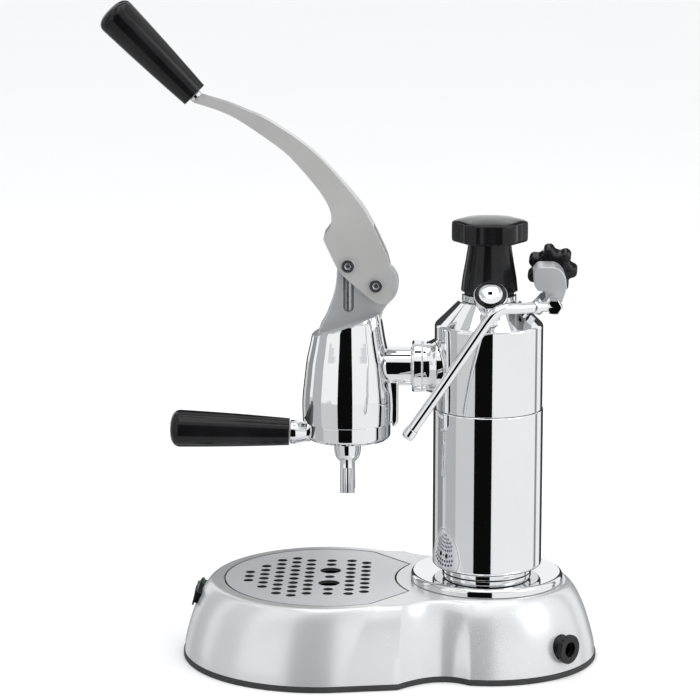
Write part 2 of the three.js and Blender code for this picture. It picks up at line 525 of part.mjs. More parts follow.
// Piston, moved by the lever through a cross pin.
const PISTON_Z = 208.2;
add(brewGroup, "piston",
  turned([[0, PISTON_Z], [21, PISTON_Z], [21, PISTON_Z + 2], [19, PISTON_Z + 2], [19, PISTON_Z + 5],
    [21, PISTON_Z + 5],
    [21, PISTON_Z + 8], [19, PISTON_Z + 8], [19, PISTON_Z + 11], [21, PISTON_Z + 11], [21, 221.6],
      [0, 221.6]], 20),
  BRASS);
const pistonSeal = (z) => ring(19.3, 21.6, z + 0.3, z + 2.7, 20);
add(brewGroup, "piston_seal_low", pistonSeal(PISTON_Z + 2), RUBBER);
add(brewGroup, "piston_seal_high", pistonSeal(PISTON_Z + 8), RUBBER);
const crossBore = aimed(disc(PIN_R + 0.1, -20, 20, 20), [0, 0, PIN_Z], [0, 1, 0]);
add(brewGroup, "piston_rod", cut(disc(5, 221.9, 283.6, 20), crossBore), STEEL);
add(brewGroup, "piston_pin", aimed(disc(PIN_R, -11, 11, 20), [0, 0, PIN_Z], [0, 1, 0]), STEEL);

// ---- lever: drawn from its fulcrum ---------------------------------------------------------------
const FORK_OUT = UPRIGHT_HALF + GAP + CHEEK;
const leverShape = new THREE.Shape();
const through = (points) => leverShape.splineThru(points.map(([x, z]) => new THREE.Vector2(x, z)));
leverShape.moveTo(-124.2, 124);
leverShape.lineTo(-119, 129);
through([[-101.4, 123.8], [-86.7, 118], [-72, 111.2], [-42.5, 90.5], [-14.4, 59.8], [-4, 44.2], [3.5, 28.8],
  [7.8, 19], [11.2, 6]]);
through([[11.3, -6], [8.8, -11.6], [3.1, -12.9]]);
through([[-3, -9.8], [-14.7, -0.2], [-24.3, 8.6], [-28.5, 16], [-35.4, 30.4]]);
leverShape.quadraticCurveTo(-36.6, 33.6, -34, 36);
through([[-30.8, 41.6], [-31.2, 51], [-38.1, 63.6], [-54.3, 82.6], [-66.1, 93.5], [-92.6, 111.6],
  [-107.3, 118.6],
  [-124.2, 124]]);
const leverBlank = slab(leverShape, -FORK_OUT, FORK_OUT, 2);
// Seen from the front the lever narrows from the fork to the grip.
const sideTaper = new THREE.Shape([[-13.3, -20], [13.3, -20], [13.3, 44], [9.6, 58], [7, 84], [5.4, 132],
  [-5.4, 132],
  [-7, 84], [-9.6, 58], [-13.3, 44]].map(([y, z]) => new THREE.Vector2(y, z)));
const taper = solid(new THREE.ExtrudeGeometry(sideTaper, { depth: 200, bevelEnabled: false })
  .applyMatrix4(new THREE.Matrix4().makeBasis(
    new THREE.Vector3(0, 1, 0), new THREE.Vector3(0, 0, 1), new THREE.Vector3(1, 0, 0)))
  .translate(-150, 0, 0));
const FORK_R = 39.5;
const forkRoom = aimed(disc(FORK_R, -UPRIGHT_HALF - GAP, UPRIGHT_HALF + GAP, 40), [0, 0, 0], [0, 1, 0]);
// Blind grooves inside the cheeks let the piston pin slide as the lever swings.
const PIN_ANGLE = Math.atan2(PIN_Z - FULCRUM.y, -FULCRUM.x);
const groove = box(13.6, 28, -11.6, 11.6, -4.2, 4.2).rotate([0, -THREE.MathUtils.radToDeg(PIN_ANGLE), 0]);
const leverBore = aimed(disc(3.6, -20, 20, 20), [0, 0, 0], [0, 1, 0]);
add(leverGroup, "lever", cut(leverBlank.intersect(taper), forkRoom, groove, leverBore), LEVER_METAL);
const pinHead = (at, y) => aimed(
  cut(turned([[0, 0], [4.6, 0], [4.6, 1.4], [3.9, 2.2], [0, 2.2]], 14), disc(2, 1, 3, 6)), [at[0], y, at[1]],
  [0, Math.sign(y), 0]);
const PIN_AT = [-FULCRUM.x, PIN_Z - FULCRUM.y];
const HEAD_Y = FORK_OUT + GAP;
add(leverGroup, "fulcrum_pin", join(
  aimed(disc(3.4, -HEAD_Y - 0.1, HEAD_Y + 0.1, 16), [0, 0, 0], [0, 1, 0]),
  pinHead([0, 0], -HEAD_Y), pinHead([0, 0], HEAD_Y)), STEEL);
add(leverGroup, "pin_screw_near", pinHead(PIN_AT, -HEAD_Y), STEEL);
add(leverGroup, "pin_screw_far", pinHead(PIN_AT, HEAD_Y), STEEL);
const GRIP_AT = [-121.8, 0, 126.7];
const GRIP_DIR = [-58.9, 0, 59.6];
add(leverGroup, "lever_ferrule", aimed(disc(4.4, 0, 2.4, 16), GRIP_AT, GRIP_DIR), CHROME);

// The two black grips share one tapered profile with a rounded butt.
const gripProfile = (length, start, end) => [[0, 0], [start, 0.6],
  [start + 0.5 * (end - start), 0.5 * length],
  [end, length - 10], [end - 0.8, length - 5], [end - 3, length - 1.8], [end - 8, length], [0, length]];
add(leverGroup, "lever_grip", aimed(turned(gripProfile(81, 9.3, 13.6), 20),
  GRIP_AT.map((v, i) => v + (new THREE.Vector3(...GRIP_DIR).normalize().toArray()[i]) * 2.7), GRIP_DIR),
    BAKELITE);

// ---- portafilter --------------------------------------------------------------------------------
const FILTER_R = 24;
const ear = (side) => box(-EAR.half, EAR.half, side > 0 ? 24 : -30, side > 0 ? 30 : -24, EAR.low, EAR.high)
  .intersect(disc(EAR.reach, 170, 180));
const PORTA_Z = 154.6;
const holderOuter = turned([[0, PORTA_Z], [27.6, PORTA_Z], [29.5, PORTA_Z + 2], [29.5, BELL_Z - 0.4],
  [27.4, BELL_Z - 0.4], [27.4, RECESS_TOP - 1], [0, RECESS_TOP - 1]]);
const NECK_DIR = [-1, 0, 0.025];
const HANDLE_Z = 157.4;
const NECK_LENGTH = 41;
const NECK_END = NECK_LENGTH - 0.6;
const neckPart = aimed(
  turned([[0, 20], [6.2, 20], [7, 31], [8.2, 36], [8.2, NECK_END], [0, NECK_END]], 24), [0, 0, HANDLE_Z],
    NECK_DIR);
const holderHollow = join(disc(FILTER_R + 0.8, PORTA_Z + 2.4, 200), disc(4, 150, 160, 16));
add(brewGroup, "portafilter_body",
  cut(join(holderOuter, ear(1), ear(-1), neckPart), holderHollow), CHROME);
add(brewGroup, "filter_basket",
  turned([[0, 158], [22, 158], [FILTER_R, 160], [FILTER_R, RECESS_TOP - 0.7], [26.2, RECESS_TOP - 0.7],
    [26.2, RECESS_TOP], [FILTER_R - 0.9, RECESS_TOP], [FILTER_R - 0.9, 160.4], [21.6, 158.9], [0, 158.9]]),
      STEEL);
add(brewGroup, "portafilter_grip", aimed(turned(gripProfile(83, 9.4, 13.2), 20),
  [NECK_DIR[0] * NECK_LENGTH, 0, HANDLE_Z + 0.025 * NECK_LENGTH], NECK_DIR), BAKELITE);
// Twin spouts: a round cup with two gutters that fall apart to the two sides.
const SPOUT_X = -0.6;
const spoutCup = turned([[0, 137], [5, 137.4], [8.4, 141], [9.4, 146], [9.4, PORTA_Z - GAP],
  [0, PORTA_Z - GAP]], 16);
const gutterShape = (side) => new THREE.Shape(
  [[1.5, 141], [1.2, 133], [5, 116.5], [11, 116.5], [9.5, 133],
    [7, 141]].map(([y, z]) => new THREE.Vector2(side * y, z)));
const acrossX = (shape, half) => solid(new THREE.ExtrudeGeometry(shape,
  { depth: 2 * half, bevelEnabled: false })
  .translate(0, 0, -half).applyMatrix4(new THREE.Matrix4().makeBasis(
    new THREE.Vector3(0, 1, 0), new THREE.Vector3(0, 0, 1), new THREE.Vector3(1, 0, 0))));
const channel = (side) => aimed(disc(2.7, -4, 40, 12), [0, side * 8.8, 114], [0, -side * 0.28, 1]);
add(brewGroup, "spout", cut(
  join(spoutCup, acrossX(gutterShape(1), 5), acrossX(gutterShape(-1), 5)),
  channel(1), channel(-1), disc(4, 148, 160, 16)).translate([SPOUT_X, 0, 0]), CHROME);

export default machine;
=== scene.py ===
# %% [markdown]
# # A lever espresso machine
# The machine is a plated metal tool: a figure-eight base with a drip tray, an upright boiler, and a
# brewing group with a long lever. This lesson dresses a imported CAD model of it. The CAD says where every
# piece is; here each visible piece gets its fine surface and its finish. All shapes are worked out in
# millimetres and turned into metres once, when a mesh is made.

# %% Load the frame
import json
import math

import bmesh
import bpy
from mathutils import Matrix, Vector


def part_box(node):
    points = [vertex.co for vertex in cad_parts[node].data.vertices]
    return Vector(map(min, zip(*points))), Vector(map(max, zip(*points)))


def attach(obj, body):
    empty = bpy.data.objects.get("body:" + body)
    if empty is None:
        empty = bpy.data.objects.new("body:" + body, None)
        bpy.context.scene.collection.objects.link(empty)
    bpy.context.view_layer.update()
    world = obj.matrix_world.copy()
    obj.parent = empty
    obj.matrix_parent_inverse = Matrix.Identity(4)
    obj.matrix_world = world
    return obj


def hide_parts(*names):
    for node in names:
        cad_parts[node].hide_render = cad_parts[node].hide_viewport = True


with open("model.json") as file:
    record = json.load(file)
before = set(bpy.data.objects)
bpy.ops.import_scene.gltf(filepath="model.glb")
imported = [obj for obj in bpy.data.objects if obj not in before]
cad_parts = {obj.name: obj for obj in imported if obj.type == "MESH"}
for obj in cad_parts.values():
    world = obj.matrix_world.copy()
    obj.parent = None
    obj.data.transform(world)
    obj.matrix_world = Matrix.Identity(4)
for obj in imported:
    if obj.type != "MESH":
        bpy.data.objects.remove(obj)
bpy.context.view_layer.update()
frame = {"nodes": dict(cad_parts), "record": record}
MM = 0.001


def box_mm(node):
    """A CAD node's lowest and highest corners, in millimetres."""
    low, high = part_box(node)
    return low / MM, high / MM


def middle(node):
    low, high = box_mm(node)
    return (low + high) / 2


# %% [markdown]
# ## Where the axes are
# Nearly everything on this machine is turned on a lathe, so most pieces only need an axis and a profile.
# The boiler, the group and the lever's fulcrum give three axes. They are read from the CAD nodes, so a
# change in the CAD moves the fine pieces too.

# %% Main axes
BOILER = Vector((middle("boiler_body").x, 0, 0))
GROUP = Vector((middle("piston").x, 0, 0))
FULCRUM = middle("fulcrum_pin")
BASE_TOP = box_mm("base_shell")[1].z
TRIM_TOP = box_mm("base_trim")[1].z
print("boiler x", round(BOILER.x, 2), "group x", round(GROUP.x, 2), "fulcrum",
    [round(v, 1) for v in FULCRUM])

# %% [markdown]
# ## Camera
# A long lens from nearly two metres keeps the uprights parallel. It looks slightly down, so the top of the
# tray shows as a thin ellipse.

# %% Camera
CAMERA_AT = Vector((57.1, -1895, 591.9))
YAW = math.radians(1.8)
PITCH = math.radians(11.2)
camera_data = bpy.data.cameras.new("camera")
camera_data.lens = 144
camera_data.sensor_width = 36
camera_data.clip_end = 30
camera = bpy.data.objects.new("camera", camera_data)
bpy.context.scene.collection.objects.link(camera)
camera.location = CAMERA_AT * MM
forward = Vector((-math.sin(YAW) * math.cos(PITCH), math.cos(YAW) * math.cos(PITCH), -math.sin(PITCH)))
camera.rotation_euler = forward.to_track_quat("-Z", "Y").to_euler()
bpy.context.scene.camera = camera

# %% [markdown]
# ## Helpers for node trees
# Materials and Geometry Nodes are both trees of nodes, so two tiny helpers serve them all: one adds a node
# with its settings, and fills each input either with a number or with a wire from another node.

# %% Node helpers


def put(tree, kind, inputs=None, **settings):
    """Adds a node; inputs maps a socket's name or place to a number, a colour or another socket."""
    node = tree.nodes.new(kind)
    for name, value in settings.items():
        setattr(node, name, value)
    for key, value in (inputs or {}).items():
        if isinstance(value, bpy.types.NodeSocket):
            tree.links.new(value, node.inputs[key])
        else:
            node.inputs[key].default_value = value
    return node


def maths(tree, operation, *values):
    return put(tree, "ShaderNodeMath", dict(enumerate(values)), operation=operation).outputs[0]


# %% [markdown]
# ## Finishes
# The boiler and the group's bell are chrome, while the base, the tray and the lever are satin. Real
# chrome is never one flat value: it has a faint haze from wiping, hair-fine polishing marks and a few soft
# smudges. Each finish here starts from one recipe. Large soft noise moves the colour and roughness a
# little, fine noise gives the grain, and a small bump breaks up the reflection. The plain numbers, such as
# metalness, sit on the shader itself.

# %% Finish recipe


def finish_base(name, metallic):
    material = bpy.data.materials.new(name)
    material.use_nodes = True
    tree = material.node_tree
    shader = tree.nodes["Principled BSDF"]
    shader.inputs["Metallic"].default_value = metallic
    return material, tree, shader


def place(tree, scale=(1, 1, 1)):
    """Object coordinates, stretched along each axis."""
    coordinate = put(tree, "ShaderNodeTexCoord")
    return put(tree, "ShaderNodeMapping", {"Vector": coordinate.outputs["Object"],
        "Scale": scale}).outputs[0]


def noise(tree, vector, scale, detail=2.0, roughness=0.5):
    values = {"Vector": vector, "Scale": scale, "Detail": detail, "Roughness": roughness}
    return put(tree, "ShaderNodeTexNoise", values).outputs[0]


def spread(tree, value, low, high, from_low=0.3, from_high=0.7):
    """Moves a noise value into a range."""
    values = {"Value": value, "From Min": from_low, "From Max": from_high, "To Min": low, "To Max": high}
    return put(tree, "ShaderNodeMapRange", values).outputs["Result"]


def two_colours(tree, factor, first, second):
    return put(tree, "ShaderNodeMix", {0: factor, 6: (*first, 1), 7: (*second, 1)},
        data_type="RGBA").outputs[2]


def bumped(tree, shader, heights, strength, distance):
    """Adds several heights and drives the shader's normal with them."""
    total = heights[0]
    for height in heights[1:]:
        total = maths(tree, "ADD", total, height)
    bump = put(tree, "ShaderNodeBump", {"Height": total, "Strength": strength, "Distance": distance})
    tree.links.new(bump.outputs["Normal"], shader.inputs["Normal"])


def finish(name, metallic, colours, roughness, smudge=18, grain=900, stretch=(1, 1, 1), bump=0.05):
    """Colour and roughness wander between two values, and a fine grain catches the light."""
    material, tree, shader = finish_base(name, metallic)
    soft = noise(tree, place(tree), smudge, 4, 0.6)
    fine = noise(tree, place(tree, stretch), grain, 3, 0.6)
    tree.links.new(two_colours(tree, spread(tree, soft, 0, 1), *colours), shader.inputs["Base Color"])
    mixed = maths(tree, "ADD", maths(tree, "MULTIPLY", soft, 0.7), maths(tree, "MULTIPLY", fine, 0.3))
    tree.links.new(spread(tree, mixed, *roughness), shader.inputs["Roughness"])
    bumped(tree, shader, [fine, maths(tree, "MULTIPLY", soft, 0.6)], bump, 0.00004)
    return material


# %% Chrome, satin steel, bakelite and the rest
CHROME = finish("chrome", 1, ((0.84, 0.85, 0.86), (0.88, 0.885, 0.89)), (0.02, 0.055), 22, 700, bump=0.015)
CAST = finish(
    "satin_cast_chrome", 0.45, ((0.47, 0.48, 0.5), (0.53, 0.54, 0.56)), (0.26, 0.36), 24, 600, bump=0.08)
LEVER = finish(
    "satin_lever", 0.45, ((0.59, 0.588, 0.578), (0.63, 0.628, 0.618)), (0.26, 0.36), 26, 420, (1, 1, 9), 0.1)
SATIN = finish(
    "brushed_tray", 0.35, ((0.62, 0.63, 0.655), (0.64, 0.65, 0.675)), (0.34, 0.38), 30, 500, (1, 14, 14),
    0.02)
SHELL = finish(
    "satin_shell", 0.5, ((0.68, 0.685, 0.69), (0.72, 0.725, 0.73)), (0.24, 0.28), 14, 500, bump=0.004)
BAKELITE = finish("bakelite", 0, ((0.004, 0.004, 0.0045), (0.01, 0.01, 0.011)), (0.1, 0.2), 40, 1200,
    bump=0.05)
BAKELITE.node_tree.nodes["Principled BSDF"].inputs["Specular IOR Level"].default_value = 0.3
RUBBER = finish("rubber", 0, ((0.02, 0.02, 0.021), (0.04, 0.04, 0.04)), (0.55, 0.75), 60, 1500, bump=0.3)
BRASS = finish("brass", 1, ((0.58, 0.4, 0.17), (0.68, 0.49, 0.24)), (0.22, 0.36), 40, 800, (1, 1, 12), 0.15)
STEEL = finish("steel", 1, ((0.5, 0.51, 0.53), (0.6, 0.61, 0.62)), (0.2, 0.34), 30, 700, (12, 1, 1), 0.12)
LENS = finish("lamp_lens", 0, ((0.008, 0.03, 0.012), (0.012, 0.045, 0.018)), (0.08, 0.16), 50, 900,
    bump=0.03)
GLASS, glass_tree, glass_shader = finish_base("gauge_glass", 0)
glass_shader.inputs["Transmission Weight"].default_value = 1
glass_shader.inputs["IOR"].default_value = 1.47
glass_shader.inputs["Base Color"].default_value = (0.94, 0.98, 0.97, 1)
glass_haze = noise(glass_tree, place(glass_tree, (1, 1, 0.2)), 60, 3)
glass_tree.links.new(spread(glass_tree, glass_haze, 0.0, 0.06), glass_shader.inputs["Roughness"])

SLOT_LOOK = {
    "chrome": CHROME, "satin_steel": SATIN, "lever_metal": LEVER, "bakelite": BAKELITE, "rubber": RUBBER,
    "brass": BRASS, "steel": STEEL, "gauge_glass": GLASS, "lamp_lens": LENS,
}
SLOT_OF = {part["node"]: part["material_slot"] for part in frame["record"]["subparts"]}
for node_name, node_object in frame["nodes"].items():
    for material_slot in node_object.material_slots:
        material_slot.material = SLOT_LOOK[SLOT_OF[node_name]]
print("finishes", len(SLOT_LOOK), "for", len(SLOT_OF), "nodes")

# %% [markdown]
# ## Making meshes
# Three makers cover almost every piece. `turned` spins a profile, with its corners rounded to a small
# fillet, because a real turned edge always catches a thin line of light. `slab` gives an outline a
# thickness, and `combine` adds or cuts solids. A bevel then softens the edges that a cut leaves.

# %% Mesh makers
BODY_OF = {node: body for body, nodes in frame["record"]["behaviour"]["bodies"].items() for node in nodes}


def mesh_object(name, vertices, faces):
    """A mesh object from points in millimetres, facing outwards, with doubles merged."""
    mesh = bpy.data.meshes.new(name)
    mesh.from_pydata([Vector(v) * MM for v in vertices], [], faces)
    made = bmesh.new()
    made.from_mesh(mesh)
    bmesh.ops.remove_doubles(made, verts=made.verts, dist=1e-6)
    bmesh.ops.recalc_face_normals(made, faces=made.faces)
    made.to_mesh(mesh)
    made.free()
    thing = bpy.data.objects.new(name, mesh)
    bpy.context.scene.collection.objects.link(thing)
    return thing


def smooth(thing, degrees=32):
    thing.data.shade_smooth()
    thing.data.set_sharp_from_angle(angle=math.radians(degrees))
    return thing


def rounded(profile, fillet, closed=False, steps=4):
    """A profile with small arcs for corners; a third value on a point is its own fillet."""
    points = []
    count = len(profile)
    for i, point in enumerate(profile):
        here = Vector(point[:2])
        radius = point[2] if len(point) > 2 else fillet
        if (not closed and i in (0, count - 1)) or radius <= 0:
            points.append(tuple(here))
            continue
        before = Vector(profile[i - 1][:2]) - here
        after = Vector(profile[(i + 1) % count][:2]) - here
        reach = min(radius, before.length * 0.45, after.length * 0.45)
        start = here + before.normalized() * reach
        end = here + after.normalized() * reach
        for step in range(steps + 1):
            t = step / steps
            points.append(tuple(start * (1 - t) ** 2 + here * 2 * t * (1 - t) + end * t**2))
    return points


def placed(points, origin, direction):
    """Points made about +Z, turned so that +Z runs along a direction from an origin."""
    turn = Vector((0, 0, 1)).rotation_difference(Vector(direction).normalized()).to_matrix()
    return [turn @ Vector(p) + Vector(origin) for p in points]


def turned(name, profile, origin=(0, 0, 0), direction=(0, 0, 1), fillet=0.5, segments=128):
    """Spins a profile of radius and height; one that leaves the axis closes on itself."""
    on_axis = profile[0][0] == 0 and profile[-1][0] == 0
    outline = rounded(profile, fillet, closed=not on_axis)
    rows = len(outline)
    points = []
    for i in range(segments):
        angle = 2 * math.pi * i / segments
        points += [(r * math.cos(angle), r * math.sin(angle), z) for r, z in outline]
    faces = []
    for i in range(segments):
        a, b = i * rows, ((i + 1) % segments) * rows
        for j in range(rows - 1 if on_axis else rows):
            k = (j + 1) % rows
            corners = [a + j, b + j, b + k, a + k]
            if outline[j][0] == 0:
                corners = [a + j, b + k, a + k]
            elif outline[k][0] == 0:
                corners = [a + j, b + j, a + k]
            faces.append(corners)
    return smooth(mesh_object(name, placed(points, origin, direction), faces))


def slab(name, outline, low, high, across="y"):
    """A flat outline with a thickness: across y the outline is in x and z, across z it is in x and y."""
    count = len(outline)
    spot = {"y": lambda p, d: (p[0], d, p[1]), "z": lambda p, d: (p[0], p[1], d), "x": lambda p,
        d: (d, p[0], p[1])}
    points = [spot[across](p, low) for p in outline] + [spot[across](p, high) for p in outline]
    faces = [list(range(count)), list(range(count, 2 * count))]
    faces += [[i, (i + 1) % count, count + (i + 1) % count, count + i] for i in range(count)]
    return mesh_object(name, points, faces)


def tube(name, path, radius, sides=32, caps=True):
    """A round bar along a list of points, in millimetres."""
    rows = []
    points = [Vector(p) for p in path]
    up = Vector((0, 1, 0.01))
    for i, point in enumerate(points):
        ahead = points[min(i + 1, len(points) - 1)] - points[max(i - 1, 0)]
        side = ahead.cross(up).normalized()
        lift = side.cross(ahead).normalized()
        r = radius(i / (len(points) - 1)) if callable(radius) else radius
        rows.append([point + side * r * math.cos(a) + lift * r * math.sin(a)
                     for a in (2 * math.pi * s / sides for s in range(sides))])
    vertices = [v for row in rows for v in row]
    faces = [[i * sides + s, i * sides + (s + 1) % sides, (i + 1) * sides + (s + 1) % sides,
        (i + 1) * sides + s]
             for i in range(len(rows) - 1) for s in range(sides)]
    if caps:
        faces += [list(range(sides)), list(range(len(vertices) - sides, len(vertices)))]
    return smooth(mesh_object(name, vertices, faces), 40)


def curve_through(points, steps=8):
    """A smooth curve through points, with even steps between them."""
    known = [Vector(p) for p in points]
    known = [2 * known[0] - known[1]] + known + [2 * known[-1] - known[-2]]
    made = []
    for i in range(1, len(known) - 2):
        p0, p1, p2, p3 = known[i - 1 : i + 3]
        for step in range(steps):
            t = step / steps
            made.append(0.5 * (2 * p1 + (p2 - p0) * t + (2 * p0 - 5 * p1 + 4 * p2 - p3) * t**2
                               + (3 * p1 - p0 - 3 * p2 + p3) * t**3))
    return made + [known[-2]]


def apply_modifiers(thing):
    """Turns an object's modifiers into plain mesh."""
    bpy.context.view_layer.update()
    result = bpy.data.meshes.new_from_object(thing.evaluated_get(bpy.context.evaluated_depsgraph_get()))
    thing.modifiers.clear()
    old = thing.data
    thing.data = result
    bpy.data.meshes.remove(old)
    return thing


def combine(thing, operation, *tools):
    """Adds (UNION) or cuts (DIFFERENCE) solids, and throws the tools away."""
    for tool in tools:
        modifier = thing.modifiers.new("combine", "BOOLEAN")
        modifier.operation = operation
        modifier.solver = "EXACT"
        modifier.object = tool
        apply_modifiers(thing)
        bpy.data.objects.remove(tool)
    return thing


def eased(thing, width, segments=2, degrees=40):
    """Softens the edges that a cut leaves, and shades the rest smooth."""
    modifier = thing.modifiers.new("eased", "BEVEL")
    modifier.width = width * MM
    modifier.segments = segments
    modifier.limit_method = "ANGLE"
    modifier.angle_limit = math.radians(degrees)
    modifier.use_clamp_overlap = True
    apply_modifiers(thing)
    return smooth(thing, 38)


def fit(thing, look, *nodes):
    """Lets flat faces lead the shading, then gives the piece its look, hides its CAD nodes and puts it on
    their body.
    """
    modifier = thing.modifiers.new("flat_faces_lead", "WEIGHTED_NORMAL")
    modifier.keep_sharp = True
    apply_modifiers(thing)
    thing.data.materials.clear()
    thing.data.materials.append(look)
    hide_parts(*nodes)
    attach(thing, BODY_OF[nodes[0]])
    print(f"{thing.name}: {len(thing.data.polygons)} faces")
    return thing


def paint(thing, look, chosen):
    """Gives a second look to the faces that a rule chooses."""
    thing.data.materials.append(look)
    count = 0
    for face in thing.data.polygons:
        if chosen(face):
            face.material_index = len(thing.data.materials) - 1
            count += 1
    print(f"{thing.name}: {count} faces are {look.name}")


# %% [markdown]
# ## The base shell
# The base is one pressed and plated shell. Seen from above it is a figure eight: a large front lobe, a
# straighter flank, a hollow waist and a smaller rear lobe. Its wall leans in as it rises and rolls over
# into the flat top. That is a rule, so the shell is a loft: the floor outline moves towards the top outline
# as the wall rises. A subdivided block would need many hand-placed points to give such clean reflections.

# %% Base outline
TRAY_X = -17.4
ARC_STEPS = 56


def arc(cx, cy, r, start, end, count):
    angles = [math.radians(start + (end - start) * i / (count - 1)) for i in range(count)]
    return [(cx + r * math.cos(a), cy + r * math.sin(a)) for a in angles]


def bent(start, control, end, count):
    """A quadratic curve, without its two ends."""
    made = []
    for i in range(1, count):
        t = i / count
        pull = Vector(control) * 2 * t * (1 - t)
        made.append(tuple(Vector(start) * (1 - t) ** 2 + pull + Vector(end) * t**2))
    return made


def half_outline(lobe_x, lobe_r, lobe_end, corner, waist, rear_r, rear_start):
    """From the front tip to the rear tip on the +Y side: lobe, flank, waist, rear lobe."""
    front = arc(lobe_x, 0, lobe_r, 180, lobe_end, ARC_STEPS)
    flank = [tuple(Vector(front[-1]).lerp(Vector(corner), i / 10)) for i in range(1, 11)]
    rear = arc(BOILER.x, 0, rear_r, rear_start, 0, ARC_STEPS)
    return front + flank + bent(corner, waist, rear[0], 24) + rear


FLOOR_HALF = half_outline(-24.1, 95.4, 79, (32.4, 87.3), (59.6, 57.6), 76.9, 99.5)
TOP_HALF = half_outline(TRAY_X, 79.6, 62, (35.4, 69), (46.3, 54), 54.9, 104)


def moved_in(loop, inset):
    made = []
    for i, point in enumerate(loop):
        along = (Vector(loop[(i + 1) % len(loop)]) - Vector(loop[i - 1])).normalized()
        made.append((point[0] - along.y * inset, point[1] + along.x * inset))
    return made


def outline_at(share, inset=0.0):
    half = [tuple(Vector(p).lerp(Vector(q), share)) for p, q in zip(FLOOR_HALF, TOP_HALF)]
    loop = half + [(x, -y) for x, y in reversed(half[1:-1])]
    return moved_in(list(reversed(loop)), inset)


print("points round the base:", len(outline_at(0)))

# %% Loft the wall
WALL_CURVE = ((4.1, 0.03), (14, 0.1), (31, 0.32), (44, 0.57), (51, 0.78), (53.5, 0.9), (BASE_TOP, 1.0))
WALL = 2.2


def loft(name, loops):
    """Skin through loops at rising heights, closed by a flat floor and top."""
    count = len(loops[0][0])
    points = [(x, y, z) for loop, z in loops for x, y in loop]
    faces = [[level * count + i, level * count + (i + 1) % count,
              (level + 1) * count + (i + 1) % count, (level + 1) * count + i]
             for level in range(len(loops) - 1) for i in range(count)]
    faces += [list(range(count)), list(range(len(points) - count, len(points)))]
    return mesh_object(name, points, faces)


wall_curve = curve_through([(share, 0, z) for z, share in WALL_CURVE], 4)
shell = loft("base_shell_fine", [(outline_at(p.x), p.z) for p in wall_curve])
cavity = loft("cavity", [(outline_at(0, WALL), 3), (outline_at(0.32, WALL), 31),
    (outline_at(0.86, WALL), BASE_TOP - WALL)])
print("wall levels", len(wall_curve))

# %% [markdown]
# ## The tray opening
# The tray sits in its own opening, round in front, with two shoulders and a hollow that follows the
# boiler's flange. The same outline, moved in or out, cuts the opening, makes the shelf under the rim and
# shapes the grille, so all of them keep an even gap.

# %% Cut the tray opening
TRAY_R = 72.3
SHOULDER_WAY = 39.5  # degrees; the way each straight shoulder faces
SHOULDER_REACH = 65.2  # from the tray's centre out to a shoulder
HOLLOW_X = 95
HOLLOW_R = 66
LEDGE = 50.6
TRAY_GAP = 1.2
RIM_IN = 3.4


def tray_outline(inset):
    """Front arc, two straight shoulders and the hollow, all moved in by the same distance."""
    radius, hollow_radius, reach = TRAY_R - inset, HOLLOW_R + inset, SHOULDER_REACH - inset
    first = SHOULDER_WAY + math.degrees(math.acos(reach / radius))
    across = (reach - math.cos(math.radians(SHOULDER_WAY)) * (HOLLOW_X - TRAY_X)) / hollow_radius
    last = math.degrees(math.asin(across)) + 90 - SHOULDER_WAY
    front = arc(TRAY_X, 0, radius, first, 360 - first, 120)
    return front + arc(HOLLOW_X, 0, hollow_radius, 180 + last, 180 - last, 40)


shelf = slab("shelf", tray_outline(-TRAY_GAP - 2.2), LEDGE - 2.2, BASE_TOP - 1, "z")
combine(shell, "DIFFERENCE", cavity)
combine(shell, "UNION", shelf)
combine(shell, "DIFFERENCE", slab("hole", tray_outline(RIM_IN), 20, 70, "z"),
        slab("rim", tray_outline(-TRAY_GAP), LEDGE, 70, "z"))
print("shell faces", len(shell.data.polygons))

# %% [markdown]
# ## Trees that grow geometry
# A Geometry Nodes tree is a recipe with named sizes. It suits what repeats, such as holes and screws, and
# shapes that follow a formula. Each tree here ends by making its instances real and giving them a material,
# and then the result is turned into a plain mesh.

# %% Helpers for growing geometry


def new_tree(title, sizes):
    """A tree with a geometry input, one input for each size, and a material."""
    tree = bpy.data.node_groups.new(title, "GeometryNodeTree")
    tree.interface.new_socket("Geometry", in_out="INPUT", socket_type="NodeSocketGeometry")
    for name, value in sizes.items():
        kind = "NodeSocketInt" if isinstance(value, int) else "NodeSocketFloat"
        tree.interface.new_socket(name, in_out="INPUT", socket_type=kind).default_value = value
    tree.interface.new_socket("Material", in_out="INPUT", socket_type="NodeSocketMaterial")
    tree.interface.new_socket("Geometry", in_out="OUTPUT", socket_type="NodeSocketGeometry")
    return tree, put(tree, "NodeGroupInput").outputs


def close_tree(tree, geometry, material):
    real = put(tree, "GeometryNodeRealizeInstances", {0: geometry}).outputs[0]
    coated = put(tree, "GeometryNodeSetMaterial", {"Geometry": real, "Material": material}).outputs[0]
    put(tree, "NodeGroupOutput", {0: coated})


def grow(thing, tree, look, **sizes):
    """Runs a tree on an object, with its sizes given by name, and keeps the result as a plain mesh."""
    modifier = thing.modifiers.new(tree.name, "NODES")
    modifier.node_group = tree
    wanted = {"Material": look, **{name.replace("_", " "): value for name, value in sizes.items()}}
    for item in tree.interface.items_tree:
        if item.in_out == "INPUT" and item.name in wanted:
            modifier[item.identifier] = wanted[item.name]
    apply_modifiers(thing)
    made = bmesh.new()
    made.from_mesh(thing.data)
    bmesh.ops.remove_doubles(made, verts=made.verts, dist=1e-6)
    bmesh.ops.recalc_face_normals(made, faces=made.faces)
    made.to_mesh(thing.data)
    made.free()
    return thing


def moved(thing, origin, direction=(0, 0, 1)):
    """Puts a mesh made about +Z, in metres, at an origin in millimetres, along a direction."""
    turn = Vector((0, 0, 1)).rotation_difference(Vector(direction).normalized()).to_matrix().to_4x4()
    thing.data.transform(Matrix.Translation(Vector(origin) * MM) @ turn)
    return thing


